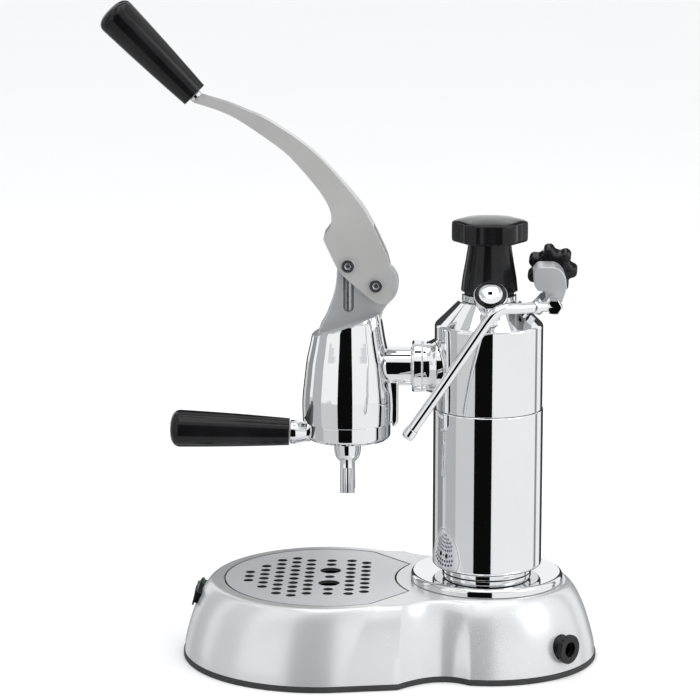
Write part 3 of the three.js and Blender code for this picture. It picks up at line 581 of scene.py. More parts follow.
# %% Finish the base shell
SWITCH_OUT = Vector((-0.97, 0, 0.24))
LAMP_AT = Vector((-107.2, 22.5, 41.5))
LAMP_OUT = Vector((-0.94, 0.24, 0.24))
GLAND_AT = Vector((138.4, -46.1, 20))
GLAND_OUT = Vector((0.75, -0.66, 0))
SWITCH_FACE = Vector((-109.6, 0, 41.5))


def bar_block(name, half_x, half_y, low, high, origin, direction):
    """A block about an axis, placed along a direction."""
    outline = [(-half_x, -half_y), (half_x, -half_y), (half_x, half_y), (-half_x, half_y)]
    return moved(slab(name, outline, low, high, "z"), origin, direction)


combine(
    shell, "DIFFERENCE",
    bar_block("switch_hole", 4.4, 11.8, -9, 9, SWITCH_FACE, SWITCH_OUT),
    turned("lamp_hole", [(0, -9), (4.2, -9), (4.2, 9), (0, 9)], LAMP_AT, LAMP_OUT, 0, 32),
    turned("gland_hole", [(0, -12), (8.9, -12), (8.9, 14), (0, 14)], GLAND_AT, GLAND_OUT, 0, 48),
    turned("heater_hole", [(0, 40), (24.6, 40), (24.6, 60), (0, 60)], BOILER, fillet=0, segments=64))
shell.name = "plated_base"
fit(eased(shell, 0.5, 2, 38), SHELL, "base_shell")

# %% [markdown]
# ## The rubber foot
# A black ring runs round the foot of the base. It is the base outline with its middle taken out, so it is a
# slab with a slab-shaped hole, and its two edges are eased like a moulding's.

# %% Rubber foot
foot = slab("rubber_foot", outline_at(0), 0, TRIM_TOP, "z")
combine(foot, "DIFFERENCE", slab("foot_hole", outline_at(0, 7), -1, TRIM_TOP + 1, "z"))
fit(eased(foot, 0.7, 3, 50), RUBBER, "base_trim")

# %% [markdown]
# ## The drip grille
# The grille is a flat satin plate with rows of punched holes, and two large drain holes in its middle row.
# Sixty drilled cylinders would be slow to place by hand. A tree that draws a line of points for each column
# and puts a drill on each point needs only the pitch, the count and the place of the column.

# %% Grow the grille
PITCH = 10.5
COLUMNS = ((-55.7, 3), (-45.2, 6), (-34.7, 9), (-24.2, 10), (-13.7, 9), (15.1, 9), (25.7, 8))
MIDDLE_ROW = 0.8


def perforation_tree():
    """Drills a column of holes: each run of the tree takes one column out of the plate."""
    tree, given = new_tree("punched_column", {"Count": 5, "Pitch": 0.01, "Across": 0.0, "Start": 0.0,
        "Radius": 0.003})
    start = put(tree, "ShaderNodeCombineXYZ", {0: given["Across"], 1: given["Start"], 2: 0.053}).outputs[0]
    step = put(tree, "ShaderNodeCombineXYZ", {1: given["Pitch"]}).outputs[0]
    line = put(tree, "GeometryNodeMeshLine", {"Count": given["Count"], "Start Location": start,
        "Offset": step})
    drill = put(tree, "GeometryNodeMeshCylinder", {"Vertices": 28, "Radius": given["Radius"], "Depth": 0.02})
    drills = put(tree, "GeometryNodeInstanceOnPoints",
        {"Points": line.outputs[0], "Instance": drill.outputs["Mesh"]})
    real = put(tree, "GeometryNodeRealizeInstances", {0: drills.outputs[0]})
    punched = put(tree, "GeometryNodeMeshBoolean", {"Mesh 1": given["Geometry"], "Mesh 2": real.outputs[0]},
                  operation="DIFFERENCE")
    close_tree(tree, punched.outputs[0], given["Material"])
    return tree


punch = perforation_tree()
grille_low, grille_high = box_mm("drip_grille")
grille = slab("satin_grille", tray_outline(0.1), grille_low.z, grille_high.z, "z")
small, large = 3.5 * MM, 7.4 * MM
rows = [(x, count, PITCH, small) for x, count in COLUMNS]
rows += [(MIDDLE_ROW, 1, 0, small), (MIDDLE_ROW, 2, 32, large), (MIDDLE_ROW, 2, 63, small),
         (MIDDLE_ROW, 2, 84, small)]
for x, count, pitch, radius in rows:
    grow(grille, punch, SATIN, Across=(TRAY_X + x) * MM, Count=count, Pitch=pitch * MM,
         Start=-(count - 1) / 2 * pitch * MM, Radius=radius)
fit(eased(grille, 0.3, 2, 60), SATIN, "drip_grille")
# The upright walls of the holes and the rim face only the dark basin and the gap, so they take the
# near-black rubber look as painted shade.
paint(grille, RUBBER, lambda face: abs(face.normal.z) < 0.3)

# %% [markdown]
# ## Switch, lamp and gland
# The switch is a black frame with a rocker that pivots in it. The lamp is a turned lens. The gland is a
# moulded bush with a ribbed nut, where the cord would leave the base.

# %% Switch, lamp and gland
bezel = bar_block("switch_frame", 5.6, 13, 0.8, 2, SWITCH_FACE, SWITCH_OUT)
combine(bezel, "UNION", bar_block("switch_box", 4, 11.4, -8, 1.4, SWITCH_FACE, SWITCH_OUT))
combine(bezel, "DIFFERENCE", bar_block("rocker_room", 3, 10.3, -5, 3, SWITCH_FACE, SWITCH_OUT))
fit(eased(bezel, 0.5, 3), BAKELITE, "switch_bezel")

ROCKER = [(-9.6, -1.2), (0, -3), (9.6, -1.2), (9.6, 2.6), (0, 1.7, 6), (-9.6, 0.9)]
rocker = slab("switch_rocker", rounded(ROCKER, 0.5, True, 5), -2.6, 2.6, "x")
fit(eased(moved(rocker, SWITCH_FACE, SWITCH_OUT), 0.3, 2, 50), BAKELITE, "power_rocker")
LAMP = [(0, -6), (3.7, -6), (3.7, 0.9), (5, 0.9), (4.6, 2.1), (2.6, 3, 1.5), (0, 3.3)]
fit(turned("lamp_lens_cap", LAMP, LAMP_AT, LAMP_OUT, 0.3, 48), LENS, "pilot_lamp")
THREAD = [(8.5 if ridge % 2 == 0 else 7.9, 7 + ridge) for ridge in range(6)]
fit(turned("gland_bush", [(5, -8), (8.5, -8), *THREAD, (5, 12)], GLAND_AT, GLAND_OUT, 0.3, 64), BAKELITE,
    "gland_body")
nut = turned("gland_ribbed_nut", [(5.2, 12.3), (10.1, 12.3), (10.1, 15.2), (5.2, 15.2)], (0, 0, 0),
    fillet=0.5)
ribs = [turned("groove", [(0, 11), (0.6, 11), (0.6, 17), (0, 17)],
    (10.3 * math.cos(a), 10.3 * math.sin(a), 0), fillet=0,
               segments=10) for a in (2 * math.pi * i / 20 for i in range(20))]
combine(nut, "DIFFERENCE", *ribs)
fit(smooth(moved(nut, GLAND_AT, GLAND_OUT)), BAKELITE, "gland_nut")

# %% [markdown]
# ## The boiler
# The boiler is turned and polished tube. A flange and a small flared foot hold it on the base, a fine seam
# parts it from its head, and the head narrows in a straight cone to the filler neck. Straight walls with
# small fillets at the edges give the long clean reflections of polished tube.

# %% Boiler
SEAM = box_mm("boiler_head")[0].z
HEAD = [(35.2, SEAM), (37.4, SEAM), (37.4, 235.7, 1.6), (21, 251.9, 0.8), (13, 251.9), (13, 249),
    (34.8, 233.9),
        (34.8, 179.3)]
BODY = [(17, 65.6), (36.6, 65.6), (38, 67, 1.2), (38, 176.4), (37.4, 177), (35.4, 177), (35.4, 68.4),
    (17, 68.4)]
FLANGE = [(24.6, 54.7), (53.1, 54.7), (53.1, 58.4, 1.4), (51.8, 60.3, 1.2), (24.6, 60.5)]
FOOT = [(18, 60.8), (31, 60.8), (31, 63.6), (29.8, 65.3), (18, 65.3)]
NECK = [(13.4, 252.2), (18.7, 252.2), (18.7, 256.2, 0.8), (17.9, 256.8), (13.4, 256.8)]
fit(turned("boiler_flange_ring", FLANGE, BOILER, fillet=0.4, segments=160), CHROME, "boiler_flange")
fit(turned("boiler_foot_ring", FOOT, BOILER), CHROME, "boiler_foot")
fit(turned("boiler_tube", BODY, BOILER, fillet=0.4, segments=160), CHROME, "boiler_body")
fit(turned("boiler_dome_head", HEAD, BOILER, fillet=0.4, segments=160), CHROME, "boiler_head")
fit(turned("filler_neck_ring", NECK, BOILER), CHROME, "filler_neck")
fit(turned("cap_seal", [(11.9, 257.1), (17.2, 257.1), (17.2, 258.7), (11.9, 258.7)], BOILER), RUBBER,
    "cap_gasket")

# %% [markdown]
# ## Lobed knobs
# The boiler cap and the tap's star knob are the same idea: a rounded disc with a wave of lobes round its
# rim. One tree makes both from a flat grid. Going across the grid goes round the knob, and going up it goes
# from the top pole to the bottom pole. The formula keeps the lobes even, which modelling by hand rarely
# does.

# %% The lobed knob tree


def lobed_tree():
    sizes = {"Radius": 0.02, "Wave": 0.001, "Lobes": 6, "Rise": 0.005, "Drop": 0.005, "Dome": 0.005,
        "Edge": 0.3}
    tree, given = new_tree("lobed_knob", sizes)
    grid = put(tree, "GeometryNodeMeshGrid", {"Size X": 1.0, "Size Y": 1.0, "Vertices X": 169,
        "Vertices Y": 57})
    spot = put(tree, "ShaderNodeSeparateXYZ", {0: put(tree, "GeometryNodeInputPosition").outputs[0]}).outputs
    turn = maths(tree, "MULTIPLY", maths(tree, "ADD", spot[0], 0.5), 2 * math.pi)
    down = maths(tree, "ADD", spot[1], 0.5)
    ease = maths(tree, "MULTIPLY", maths(tree, "SINE", maths(tree, "MULTIPLY", down, 2 * math.pi)),
        -0.95 / (2 * math.pi))
    slope = maths(tree, "MULTIPLY", maths(tree, "ADD", down, ease), math.pi)
    share = maths(tree, "POWER", maths(tree, "MAXIMUM", maths(tree, "SINE", slope), 0.0), given["Edge"])
    lobe = maths(tree, "COSINE", maths(tree, "MULTIPLY", turn, given["Lobes"]))
    wave = maths(tree, "MULTIPLY", given["Wave"], maths(tree, "TANH", maths(tree, "MULTIPLY", lobe, 1.5)))
    reach = maths(tree, "MULTIPLY", share, maths(tree, "ADD", given["Radius"],
        maths(tree, "MULTIPLY", wave, share)))
    height = maths(tree, "COSINE", slope)
    upper = maths(tree, "POWER", maths(tree, "MAXIMUM", height, 0.0), given["Edge"])
    lower = maths(tree, "POWER", maths(tree, "MAXIMUM", maths(tree, "MULTIPLY", height, -1.0), 0.0),
        given["Edge"])
    crown = maths(tree, "MULTIPLY", given["Dome"], maths(tree, "SUBTRACT", 1.0,
        maths(tree, "MULTIPLY", share, share)))
    crown = maths(tree, "MULTIPLY", crown, maths(tree, "GREATER_THAN", height, 0.0))
    above = maths(tree, "ADD", maths(tree, "MULTIPLY", upper, given["Rise"]), crown)
    z = maths(tree, "SUBTRACT", above, maths(tree, "MULTIPLY", lower, given["Drop"]))
    x = maths(tree, "MULTIPLY", reach, maths(tree, "COSINE", turn))
    y = maths(tree, "MULTIPLY", reach, maths(tree, "SINE", turn))
    place_at = put(tree, "ShaderNodeCombineXYZ", {0: x, 1: y, 2: z}).outputs[0]
    placed_grid = put(tree, "GeometryNodeSetPosition",
        {"Geometry": grid.outputs["Mesh"], "Position": place_at})
    merged = put(tree, "GeometryNodeMergeByDistance", {0: placed_grid.outputs[0], "Distance": 1e-5})
    close_tree(tree, merged.outputs[0], given["Material"])
    return tree


def blank(name):
    """An object with an empty mesh, for a tree to fill."""
    return mesh_object(name, [], [])


knob_tree = lobed_tree()
print("knob tree nodes", len(knob_tree.nodes))

# %% Boiler cap
CAP_MIDDLE = Vector((BOILER.x, 0, 300))
cap = grow(blank("cap_knob"), knob_tree, BAKELITE, Radius=25.1 * MM, Wave=1.1 * MM, Lobes=6, Rise=7.2 * MM,
           Drop=7.2 * MM, Dome=2.7 * MM, Edge=0.17)
moved(cap, CAP_MIDDLE)
SKIRT = [(0, 261), (11.8, 261), (11.8, 259), (19.6, 259), (18.6, 268, 20), (16.4, 280, 20), (14.9, 290, 3),
    (14.9, 299),
         (0, 299)]
combine(cap, "UNION", turned("skirt", SKIRT, BOILER, fillet=0.6, segments=96))
fit(smooth(cap, 40), BAKELITE, "boiler_cap")

# %% Star knob and its spindle
KNOB_AT = BOILER + Vector((43.1, 12.8, 270.3))
SPINDLE = Vector((0.07, 0.93, 0.3)).normalized()
knob = grow(blank("star_knob"), knob_tree, BAKELITE, Radius=15.6 * MM, Wave=2.2 * MM, Lobes=7, Rise=6.2 * MM,
            Drop=6.4 * MM, Dome=1.2 * MM, Edge=0.3)
moved(knob, KNOB_AT + SPINDLE * 4, SPINDLE)
combine(knob, "UNION", turned("hub", [(0, -3.5), (8, -3.5), (9.5, 0), (9.5, 2), (0, 2)], KNOB_AT, SPINDLE,
    0.6, 64))
fit(smooth(knob, 50), BAKELITE, "steam_knob")
fit(turned("tap_spindle", [(0, 0), (4, 0), (4, 19), (0, 19)], KNOB_AT - SPINDLE * 21, SPINDLE, 0.4, 48),
    BRASS,
    "steam_spindle")

# %% [markdown]
# ## The safety valve
# The valve leans out of the cone on the near side. Its body widens like a small trumpet, and a shallow dome
# closes it. Both are turned about an axis at 45 degrees.

# %% Safety valve
VALVE_AT = BOILER + Vector((0, -29.2, 243.8))
VALVE_OUT = Vector((0, -1, 1))
VALVE = [(0, 0.6), (7, 0.6), (7, 3.5), (6, 4.4, 1), (6, 8, 4), (10.2, 21, 3), (10.2, 24.4), (8.4, 24.4),
    (8.4, 21.6),
         (4.8, 9.4), (4.8, 8.6), (0, 8.6)]
VALVE_CAP = [(0, 24.7), (11.5, 24.7), (11.5, 28.6, 1.2), (10.9, 29.3), (9.9, 29.3, 0.2), (8.6, 30.2, 1),
    (5, 31.6, 3),
             (0, 32.2)]
fit(turned("valve_body", VALVE, VALVE_AT, VALVE_OUT, 0.3, 72), CHROME, "safety_valve_body")
dome = turned("valve_cap", VALVE_CAP, VALVE_AT, VALVE_OUT, 0.3, 72)
fit(dome, CHROME, "safety_valve_dome")
# The dome is chrome all over; a ring on it takes the black bakelite look as a painted reflection of dark
# surroundings.
VALVE_WAY = VALVE_OUT.normalized()
RING_INNER = 7.6
RING_OUTER = 10.8
RING_FOOT = 29  # along the valve's axis, where the ring begins


def in_painted_reflection_ring(face):
    offset = face.center / MM - VALVE_AT
    along = offset.dot(VALVE_WAY)
    return along > RING_FOOT and RING_INNER < (offset - VALVE_WAY * along).length < RING_OUTER


# Painted reflection: the ring on the chrome dome is made black.
paint(dome, BAKELITE, in_painted_reflection_ring)

# %% [markdown]
# ## Steam tap and wand
# The tap is a small forging with a rounded top: a flat outline given a thickness, with every edge eased.
# Its hexagon nut lets the wand swing. The wand itself is one long bent tube, so a smooth curve through a
# few points gives its route, and a ring of points is carried along it.

# %% Steam tap
TAP_AT = BOILER + Vector((40.9, -14, 268))
TAP = [(-3, -12.6), (8, -12.6), (11, -3), (10.4, 5.4, 6), (5, 11.5, 4), (-8, 11.6, 4), (-11.4, 8, 4),
    (-11, -1), (-8.6, -5),
       (-3.6, -5)]
NUT_AT = BOILER + Vector((42.4, -46, 256.4))
tap = slab("tap_block", [(TAP_AT.x + x, TAP_AT.z + z) for x, z in rounded(TAP, 1, True, 5)], TAP_AT.y - 13,
    TAP_AT.y + 13)
eased(tap, 2.2, 4, 50)
combine(tap, "UNION", turned("stem", [(0, 6.3), (4.2, 6.3), (4.2, 22), (0, 22)], NUT_AT, (0, 1, 0), 0.4, 40))
spindle_room = turned("spindle_room", [(0, -8), (4.4, -8), (4.4, 60), (0, 60)], KNOB_AT - SPINDLE * 22,
    SPINDLE, 0, 40)
combine(tap, "DIFFERENCE", spindle_room)
fit(smooth(tap, 38), CAST, "steam_valve_body")
STUB = [(31.2, 0, 245.8), (34.6, -2, 249.2), (38.5, -6, 254.5)]
fit(tube("tap_stub", curve_through([BOILER + Vector(p) for p in STUB]), 5.2, 40), CHROME, "steam_stub")

# %% Wand and its nut
WAND_DIR = Vector((-1, -0.5, 0.02)).normalized()
HEX = [(0, -6), (5, -6), (5.8, -5.3, 0.2), (5.8, 5.3, 0.2), (5, 6), (0, 6)]
joint = turned("wand_nut", HEX, NUT_AT, (0, -1, 0), 0.1, 6)
combine(joint, "UNION", turned("pivot", [(0, 0), (3.4, 0), (3.4, 11), (0, 11)], NUT_AT, WAND_DIR, 0.3, 40))
fit(eased(joint, 0.35, 2), CHROME, "wand_joint")
COLLAR = [(0, 11.3), (4.4, 11.3), (4.4, 14.6), (3.8, 15.6), (0, 15.6)]
fit(turned("wand_ring", COLLAR, NUT_AT, WAND_DIR, 0.4, 48), CHROME, "wand_collar")
BENDS = [(9.5, -63, 257.4), (2.9, -65.4, 254.6), (-2.8, -66, 248.6), (-13.6, -65.4, 232.2),
    (-23.5, -64.6, 217.2),
         (-33.5, -63.4, 202), (-51.5, -61.4, 175)]
route = [NUT_AT + WAND_DIR * 15.9, NUT_AT + WAND_DIR * 26] + [BOILER + Vector(p) for p in BENDS]
fit(tube("wand_tube", curve_through(route, 12), 3.7, 40), CHROME, "steam_wand")
TIP = [(0, 0.3), (4.2, 0.3), (4.4, 5.5), (3.6, 7.6), (1.4, 8), (1.4, 5), (0, 5)]
fit(turned("wand_nozzle", TIP, BOILER + Vector(BENDS[-1]), (-18, 1.8, -27), 0.4, 48), CHROME, "wand_tip")

# %% [markdown]
# ## The sight glass
# On the far side a glass tube between two fittings shows the water level. A slotted chrome guard stands
# round it.

# %% Sight glass
GAUGE = middle("sight_glass")
GAUGE_LOW, GAUGE_HIGH = 96, 203
for name, node, level, up in (("gauge_foot", "gauge_fitting_low", GAUGE_LOW, -1),
    ("gauge_head", "gauge_fitting_high", GAUGE_HIGH, 1)):
    column = turned(name, [(0, -11), (5, -11), (5, -7), (8, -7), (8, 7), (5.8, 7), (5.8, 4), (0, 4)],
                    (GAUGE.x, GAUGE.y, level), (0, 0, -up), 0.5, 64)
    combine(column, "UNION", turned("arm", [(0, 38.3), (5.5, 38.3), (5.5, GAUGE.y - 2), (0, GAUGE.y - 2)],
                                    (BOILER.x, 0, level), (0, 1, 0), 0.3, 48))
    fit(smooth(column), CHROME, node)
GLASS_ENDS = (GAUGE_LOW + 4.3, GAUGE_HIGH - 4.3)
tube_profile = [(3.6, GLASS_ENDS[0]), (5.4, GLASS_ENDS[0]), (5.4, GLASS_ENDS[1]), (3.6, GLASS_ENDS[1])]
fit(turned("gauge_tube", tube_profile, (GAUGE.x, GAUGE.y, 0), fillet=0.2, segments=64), GLASS, "sight_glass")
guard_profile = [(6.6, GAUGE_LOW + 7.3), (8, GAUGE_LOW + 7.3), (8, GAUGE_HIGH - 7.3),
    (6.6, GAUGE_HIGH - 7.3)]
guard = turned("gauge_sleeve", guard_profile, (GAUGE.x, GAUGE.y, 0), fillet=0.4, segments=64)
slot_outline = [(GAUGE.x - 4, GAUGE_LOW + 14), (GAUGE.x + 4, GAUGE_LOW + 14),
    (GAUGE.x + 4, GAUGE_HIGH - 14), (GAUGE.x - 4, GAUGE_HIGH - 14)]
combine(guard, "DIFFERENCE", slab("guard_slot", rounded(slot_outline, 3, True, 5), GAUGE.y + 2,
    GAUGE.y + 10))
fit(smooth(guard), CHROME, "gauge_guard")

# %% [markdown]
# ## The brewing group
# The group is one casting: a bell, turned and polished like a mirror, cut off by a slanting face, and above
# it a flat satin upright that carries the lever. The bell and the pipe are turned, the upright is a slab,
# and the solids are joined. Faces above the slanting cut then get the satin finish.

# %% Pipe and collar
PIPE_AT = Vector((BOILER.x, 0, 205.5))
TOWARDS_GROUP = (-1, 0, 0)
OUTLET = [(9.5, 30), (20.4, 30), (20.4, 36.2, 1), (18.4, 39.4, 3), (17.7, 43), (17.7, 45.5), (9.5, 45.5)]
outlet = turned("boiler_outlet_ring", OUTLET, PIPE_AT, TOWARDS_GROUP, 0.6, 96)
combine(outlet, "DIFFERENCE", turned("boiler_room", [(0, 170), (37.7, 170), (37.7, 240), (0, 240)], BOILER,
    fillet=0, segments=160))
fit(smooth(outlet), CHROME, "boiler_outlet")
COLLAR_RING = [(9.5, 45.8), (18.1, 45.8), (18.1, 51.6, 1), (17.2, 52.8), (9.5, 52.8)]
fit(turned("pipe_ring", COLLAR_RING, PIPE_AT, TOWARDS_GROUP, 0.7, 96), CHROME, "pipe_collar")

# %% Bell, upright and ribs
BELL_LOW = 167.3
BELL = [(31.7, BELL_LOW), (31.9, 173), (32, 179.5), (31.6, 187), (30.9, 193), (29.8, 203), (28.9, 210),
    (27.4, 217),
        (25.6, 225.5), (24.5, 232), (22.2, 246.3), (21.6, 251)]
CUT_LEFT, CUT_RIGHT = (-60, 215.5), (60, 257)


def cut_height(x):
    share = (x - GROUP.x - CUT_LEFT[0]) / (CUT_RIGHT[0] - CUT_LEFT[0])
    return CUT_LEFT[1] + share * (CUT_RIGHT[1] - CUT_LEFT[1])


def in_group(points):
    return [(GROUP.x + p[0], p[1]) for p in points]


bell_side = [tuple(p) for p in curve_through(BELL, 3)]
group = turned("brewing_group", [(0, BELL_LOW), *bell_side, (0, 251)], GROUP, fillet=0.1, segments=160)
combine(group, "DIFFERENCE", slab("slant", in_group([CUT_LEFT, CUT_RIGHT, (60, 300), (-60, 300)]), -60, 60))
eased(group, 0.9, 3)
UPRIGHT_FRONT = [tuple(p) for p in curve_through([(-22, 225), (-19.3, 233.8), (-15, 242), (-10.1, 256),
    (-7.9, 269), (-7.6, 283)], 8)]
FULCRUM_LOCAL = (FULCRUM.x - GROUP.x, FULCRUM.z)
UPRIGHT = UPRIGHT_FRONT + bent((-7.6, 283), (-7.4, 288), (-2.5, 288), 6) + [(-2.5, 288)]
UPRIGHT += arc(*FULCRUM_LOCAL, 15.5, 112, -52, 40) + bent((28.6, 251.7), (23, 246), (22.6, 240),
    5) + [(22.6, 240), (22, 225)]
upright = slab("upright", in_group(UPRIGHT), -8, 8)
eased(upright, 1.0, 3, 50)
RIB = [(30.2, 164.2), (32.5, 164.6), (34.6, 168), (34.6, 196), (24, 200), (24, 168), (30.2, 168)]
rib = eased(slab("rear_rib", in_group(RIB), -9, 9), 1.6, 4)
pipe = turned("pipe", [(0, 53.1), (13.6, 53.1), (13.6, 84), (0, 84)], PIPE_AT, TOWARDS_GROUP, 0.6, 96)
combine(group, "UNION", pipe, rib, upright)
print("group faces", len(group.data.polygons))

# %% Bores and slots of the group
slot_low = arc(0.3, 248, 3.5, 180, 360, 14)
slot_high = arc(0.3, 278, 3.5, 0, 180, 14)
combine(
    group, "DIFFERENCE",
    turned("bore", [(0, 179), (22, 179), (22, 223), (0, 223)], GROUP, fillet=0),
    turned("rod_bore", [(0, 220), (5.5, 220), (5.5, 300), (0, 300)], GROUP, fillet=0, segments=48),
    slab("pin_slot", in_group(slot_low + slot_high), -20, 20),
    turned("collar_room", [(0, 160), (27.9, 160), (27.9, 171.5), (29.2, 171.5), (29.2, 181), (26.8, 181),
        (26.8, 186.2), (0, 186.2)],
           GROUP, fillet=0),
    turned("fulcrum_bore", [(0, -20), (3.6, -20), (3.6, 20), (0, 20)], FULCRUM, (0, 1, 0), 0, 48))
smooth(group, 30)
group.data.materials.clear()
for look in (CHROME, CAST):
    group.data.materials.append(look)
for face in group.data.polygons:
    centre = face.center / MM
    above = centre.z > cut_height(centre.x) - 0.6
    face.material_index = 1 if above and centre.x < 40 else 0
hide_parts("group_body")
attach(group, BODY_OF["group_body"])
print("satin faces", sum(face.material_index for face in group.data.polygons))
fit(turned("piston_bar", [(0, 221.9), (5, 221.9), (5, 283.6), (0, 283.6)], GROUP, fillet=0.8, segments=48),
    STEEL, "piston_rod")

# %% [markdown]
# ## The lever
# The lever is a satin casting. From the side it is a broad curved blade with a spur. From the front it
# narrows from a wide fork to a thin neck. Two slabs that cross, one for each view, keep both outlines true,
# which is surer than bending a bar. The fork's room, the pin grooves and the bore are then cut out of it.

# %% Lever
REAR_EDGE = [
    (-101.4, 123.8), (-86.7, 118), (-72, 111.2), (-42.5, 90.5), (-14.4, 59.8), (-4, 44.2), (3.5,
        28.8), (7.8, 19),
    (11.2, 6),
]
FRONT_EDGE = [(-3, -9.8), (-14.7, -0.2), (-24.3, 8.6), (-28.5, 16), (-35.4, 30.4)]
INNER_EDGE = [
    (-34, 36), (-30.8, 41.6), (-31.2, 51), (-38.1, 63.6), (-54.3, 82.6), (-66.1, 93.5), (-92.6, 111.6),
    (-107.3, 118.6), (-124.2, 124),
]


def through(points, steps=6):
    return [tuple(p) for p in curve_through(points, steps)]


blade = through([(-119, 129)] + REAR_EDGE)
blade += through([REAR_EDGE[-1], (11.3, -6), (8.8, -11.6), (3.1, -12.9)])[1:]
blade += through([(3.1, -12.9)] + FRONT_EDGE)[1:]
blade += bent(FRONT_EDGE[-1], (-36.6, 33.6), INNER_EDGE[0], 5)
blade += through(INNER_EDGE)
FORK_HALF = 13.3
WIDTHS = [(FORK_HALF, 18), (13.2, 32), (12.3, 45), (10.4, 58), (8.4, 72), (7, 88), (5.4, 132)]
widths = [(FORK_HALF, -20)] + through(WIDTHS, 8)
lever_side = [(FULCRUM.x + x, FULCRUM.z + z) for x, z in blade]
lever = slab("hand_lever", lever_side, -FORK_HALF - 1, FORK_HALF + 1)
narrowing = [(y, FULCRUM.z + z) for y, z in widths] + [(-y, FULCRUM.z + z) for y, z in reversed(widths)]
combine(lever, "INTERSECT", slab("front_view", narrowing, FULCRUM.x - 150, FULCRUM.x + 60, "x"))
fork = turned("fork", [(0, -8.3), (39.5, -8.3), (39.5, 8.3), (0, 8.3)], FULCRUM, (0, 1, 0), 0, 128)
PIN = middle("piston_pin") - FULCRUM
groove = slab("groove", [(-4.2, -11.6), (4.2, -11.6), (4.2, 11.6), (-4.2, 11.6)], 13.6, 28, "z")
moved(groove, FULCRUM, (PIN.x, 0, PIN.z))
pivot_bore = turned("pivot_bore", [(0, -20), (3.6, -20), (3.6, 20), (0, 20)], FULCRUM, (0, 1, 0), 0, 48)
combine(lever, "DIFFERENCE", fork, groove, pivot_bore)
fit(eased(lever, 1.3, 3, 45), LEVER, "lever")

# %% [markdown]
# ## Socket screws
# Two socket-headed screws show on each side of the fork, and three more hold the bottom plate. A screw head
# is a short cylinder with a six-sided socket. The tree builds one head and puts it on every marked point,
# turned to the way that point faces; the marked points are the four at the fork.

# %% Grow the screw heads


def screw_tree():
    sizes = {"Head Radius": 0.0046, "Head Height": 0.0022, "Socket Radius": 0.0021, "Socket Depth": 0.0013}
    tree, given = new_tree("socket_screws", sizes)
    head = put(tree, "GeometryNodeMeshCylinder", {"Vertices": 48, "Radius": given["Head Radius"],
        "Depth": given["Head Height"]})
    socket = put(tree, "GeometryNodeMeshCylinder", {"Vertices": 6, "Radius": given["Socket Radius"],
        "Depth": given["Socket Depth"]})
    half = maths(tree, "MULTIPLY", given["Head Height"], 0.5)
    raised = put(tree, "ShaderNodeCombineXYZ", {2: half}).outputs[0]
    lifted_head = put(tree, "GeometryNodeTransform",
        {0: head.outputs["Mesh"], "Translation": raised}).outputs[0]
    top = put(tree, "ShaderNodeCombineXYZ", {2: given["Head Height"]}).outputs[0]
    lifted_socket = put(tree, "GeometryNodeTransform",
        {0: socket.outputs["Mesh"], "Translation": top}).outputs[0]
    bored = put(tree, "GeometryNodeMeshBoolean", {"Mesh 1": lifted_head, "Mesh 2": lifted_socket},
        operation="DIFFERENCE")
    facing = put(tree, "GeometryNodeInputNamedAttribute", {"Name": "facing"},
        data_type="FLOAT_VECTOR").outputs[0]
    turn = put(tree, "FunctionNodeAlignRotationToVector", {"Vector": facing}, axis="Z").outputs[0]
    heads = put(tree, "GeometryNodeInstanceOnPoints",
        {"Points": given["Geometry"], "Instance": bored.outputs[0], "Rotation": turn})
    close_tree(tree, heads.outputs[0], given["Material"])
    return tree


def marked(name, spots):
    """Points in millimetres with the way each one faces, for a tree to put screws on."""
    thing = mesh_object(name, [spot for spot, _ in spots], [])
    facing = thing.data.attributes.new("facing", "FLOAT_VECTOR", "POINT")
    for item, (_, way) in zip(facing.data, spots):
        item.vector = way
    return thing


screw_heads = screw_tree()
HEAD_Y = 13.6
spots = []
for side in (-1, 1):
    spots += [((FULCRUM.x, side * HEAD_Y, FULCRUM.z), (0, side, 0)),
        ((FULCRUM.x + PIN.x, side * HEAD_Y, FULCRUM.z + PIN.z), (0, side, 0))]
lever_screws = grow(marked("lever_screws", spots), screw_heads, STEEL)
combine(lever_screws, "UNION", turned("shaft", [(0, -13.4), (3.4, -13.4), (3.4, 13.4), (0, 13.4)], FULCRUM,
    (0, 1, 0), 0, 48))
fit(eased(lever_screws, 0.4, 3), STEEL, "fulcrum_pin", "pin_screw_near", "pin_screw_far")

# %% [markdown]
# ## The black grips
# The lever and the portafilter share one grip: a taper that swells towards its butt and is rounded off
# there. A grid is wrapped round an axis and a formula gives the radius along it, so both grips match.

# %% The grip tree


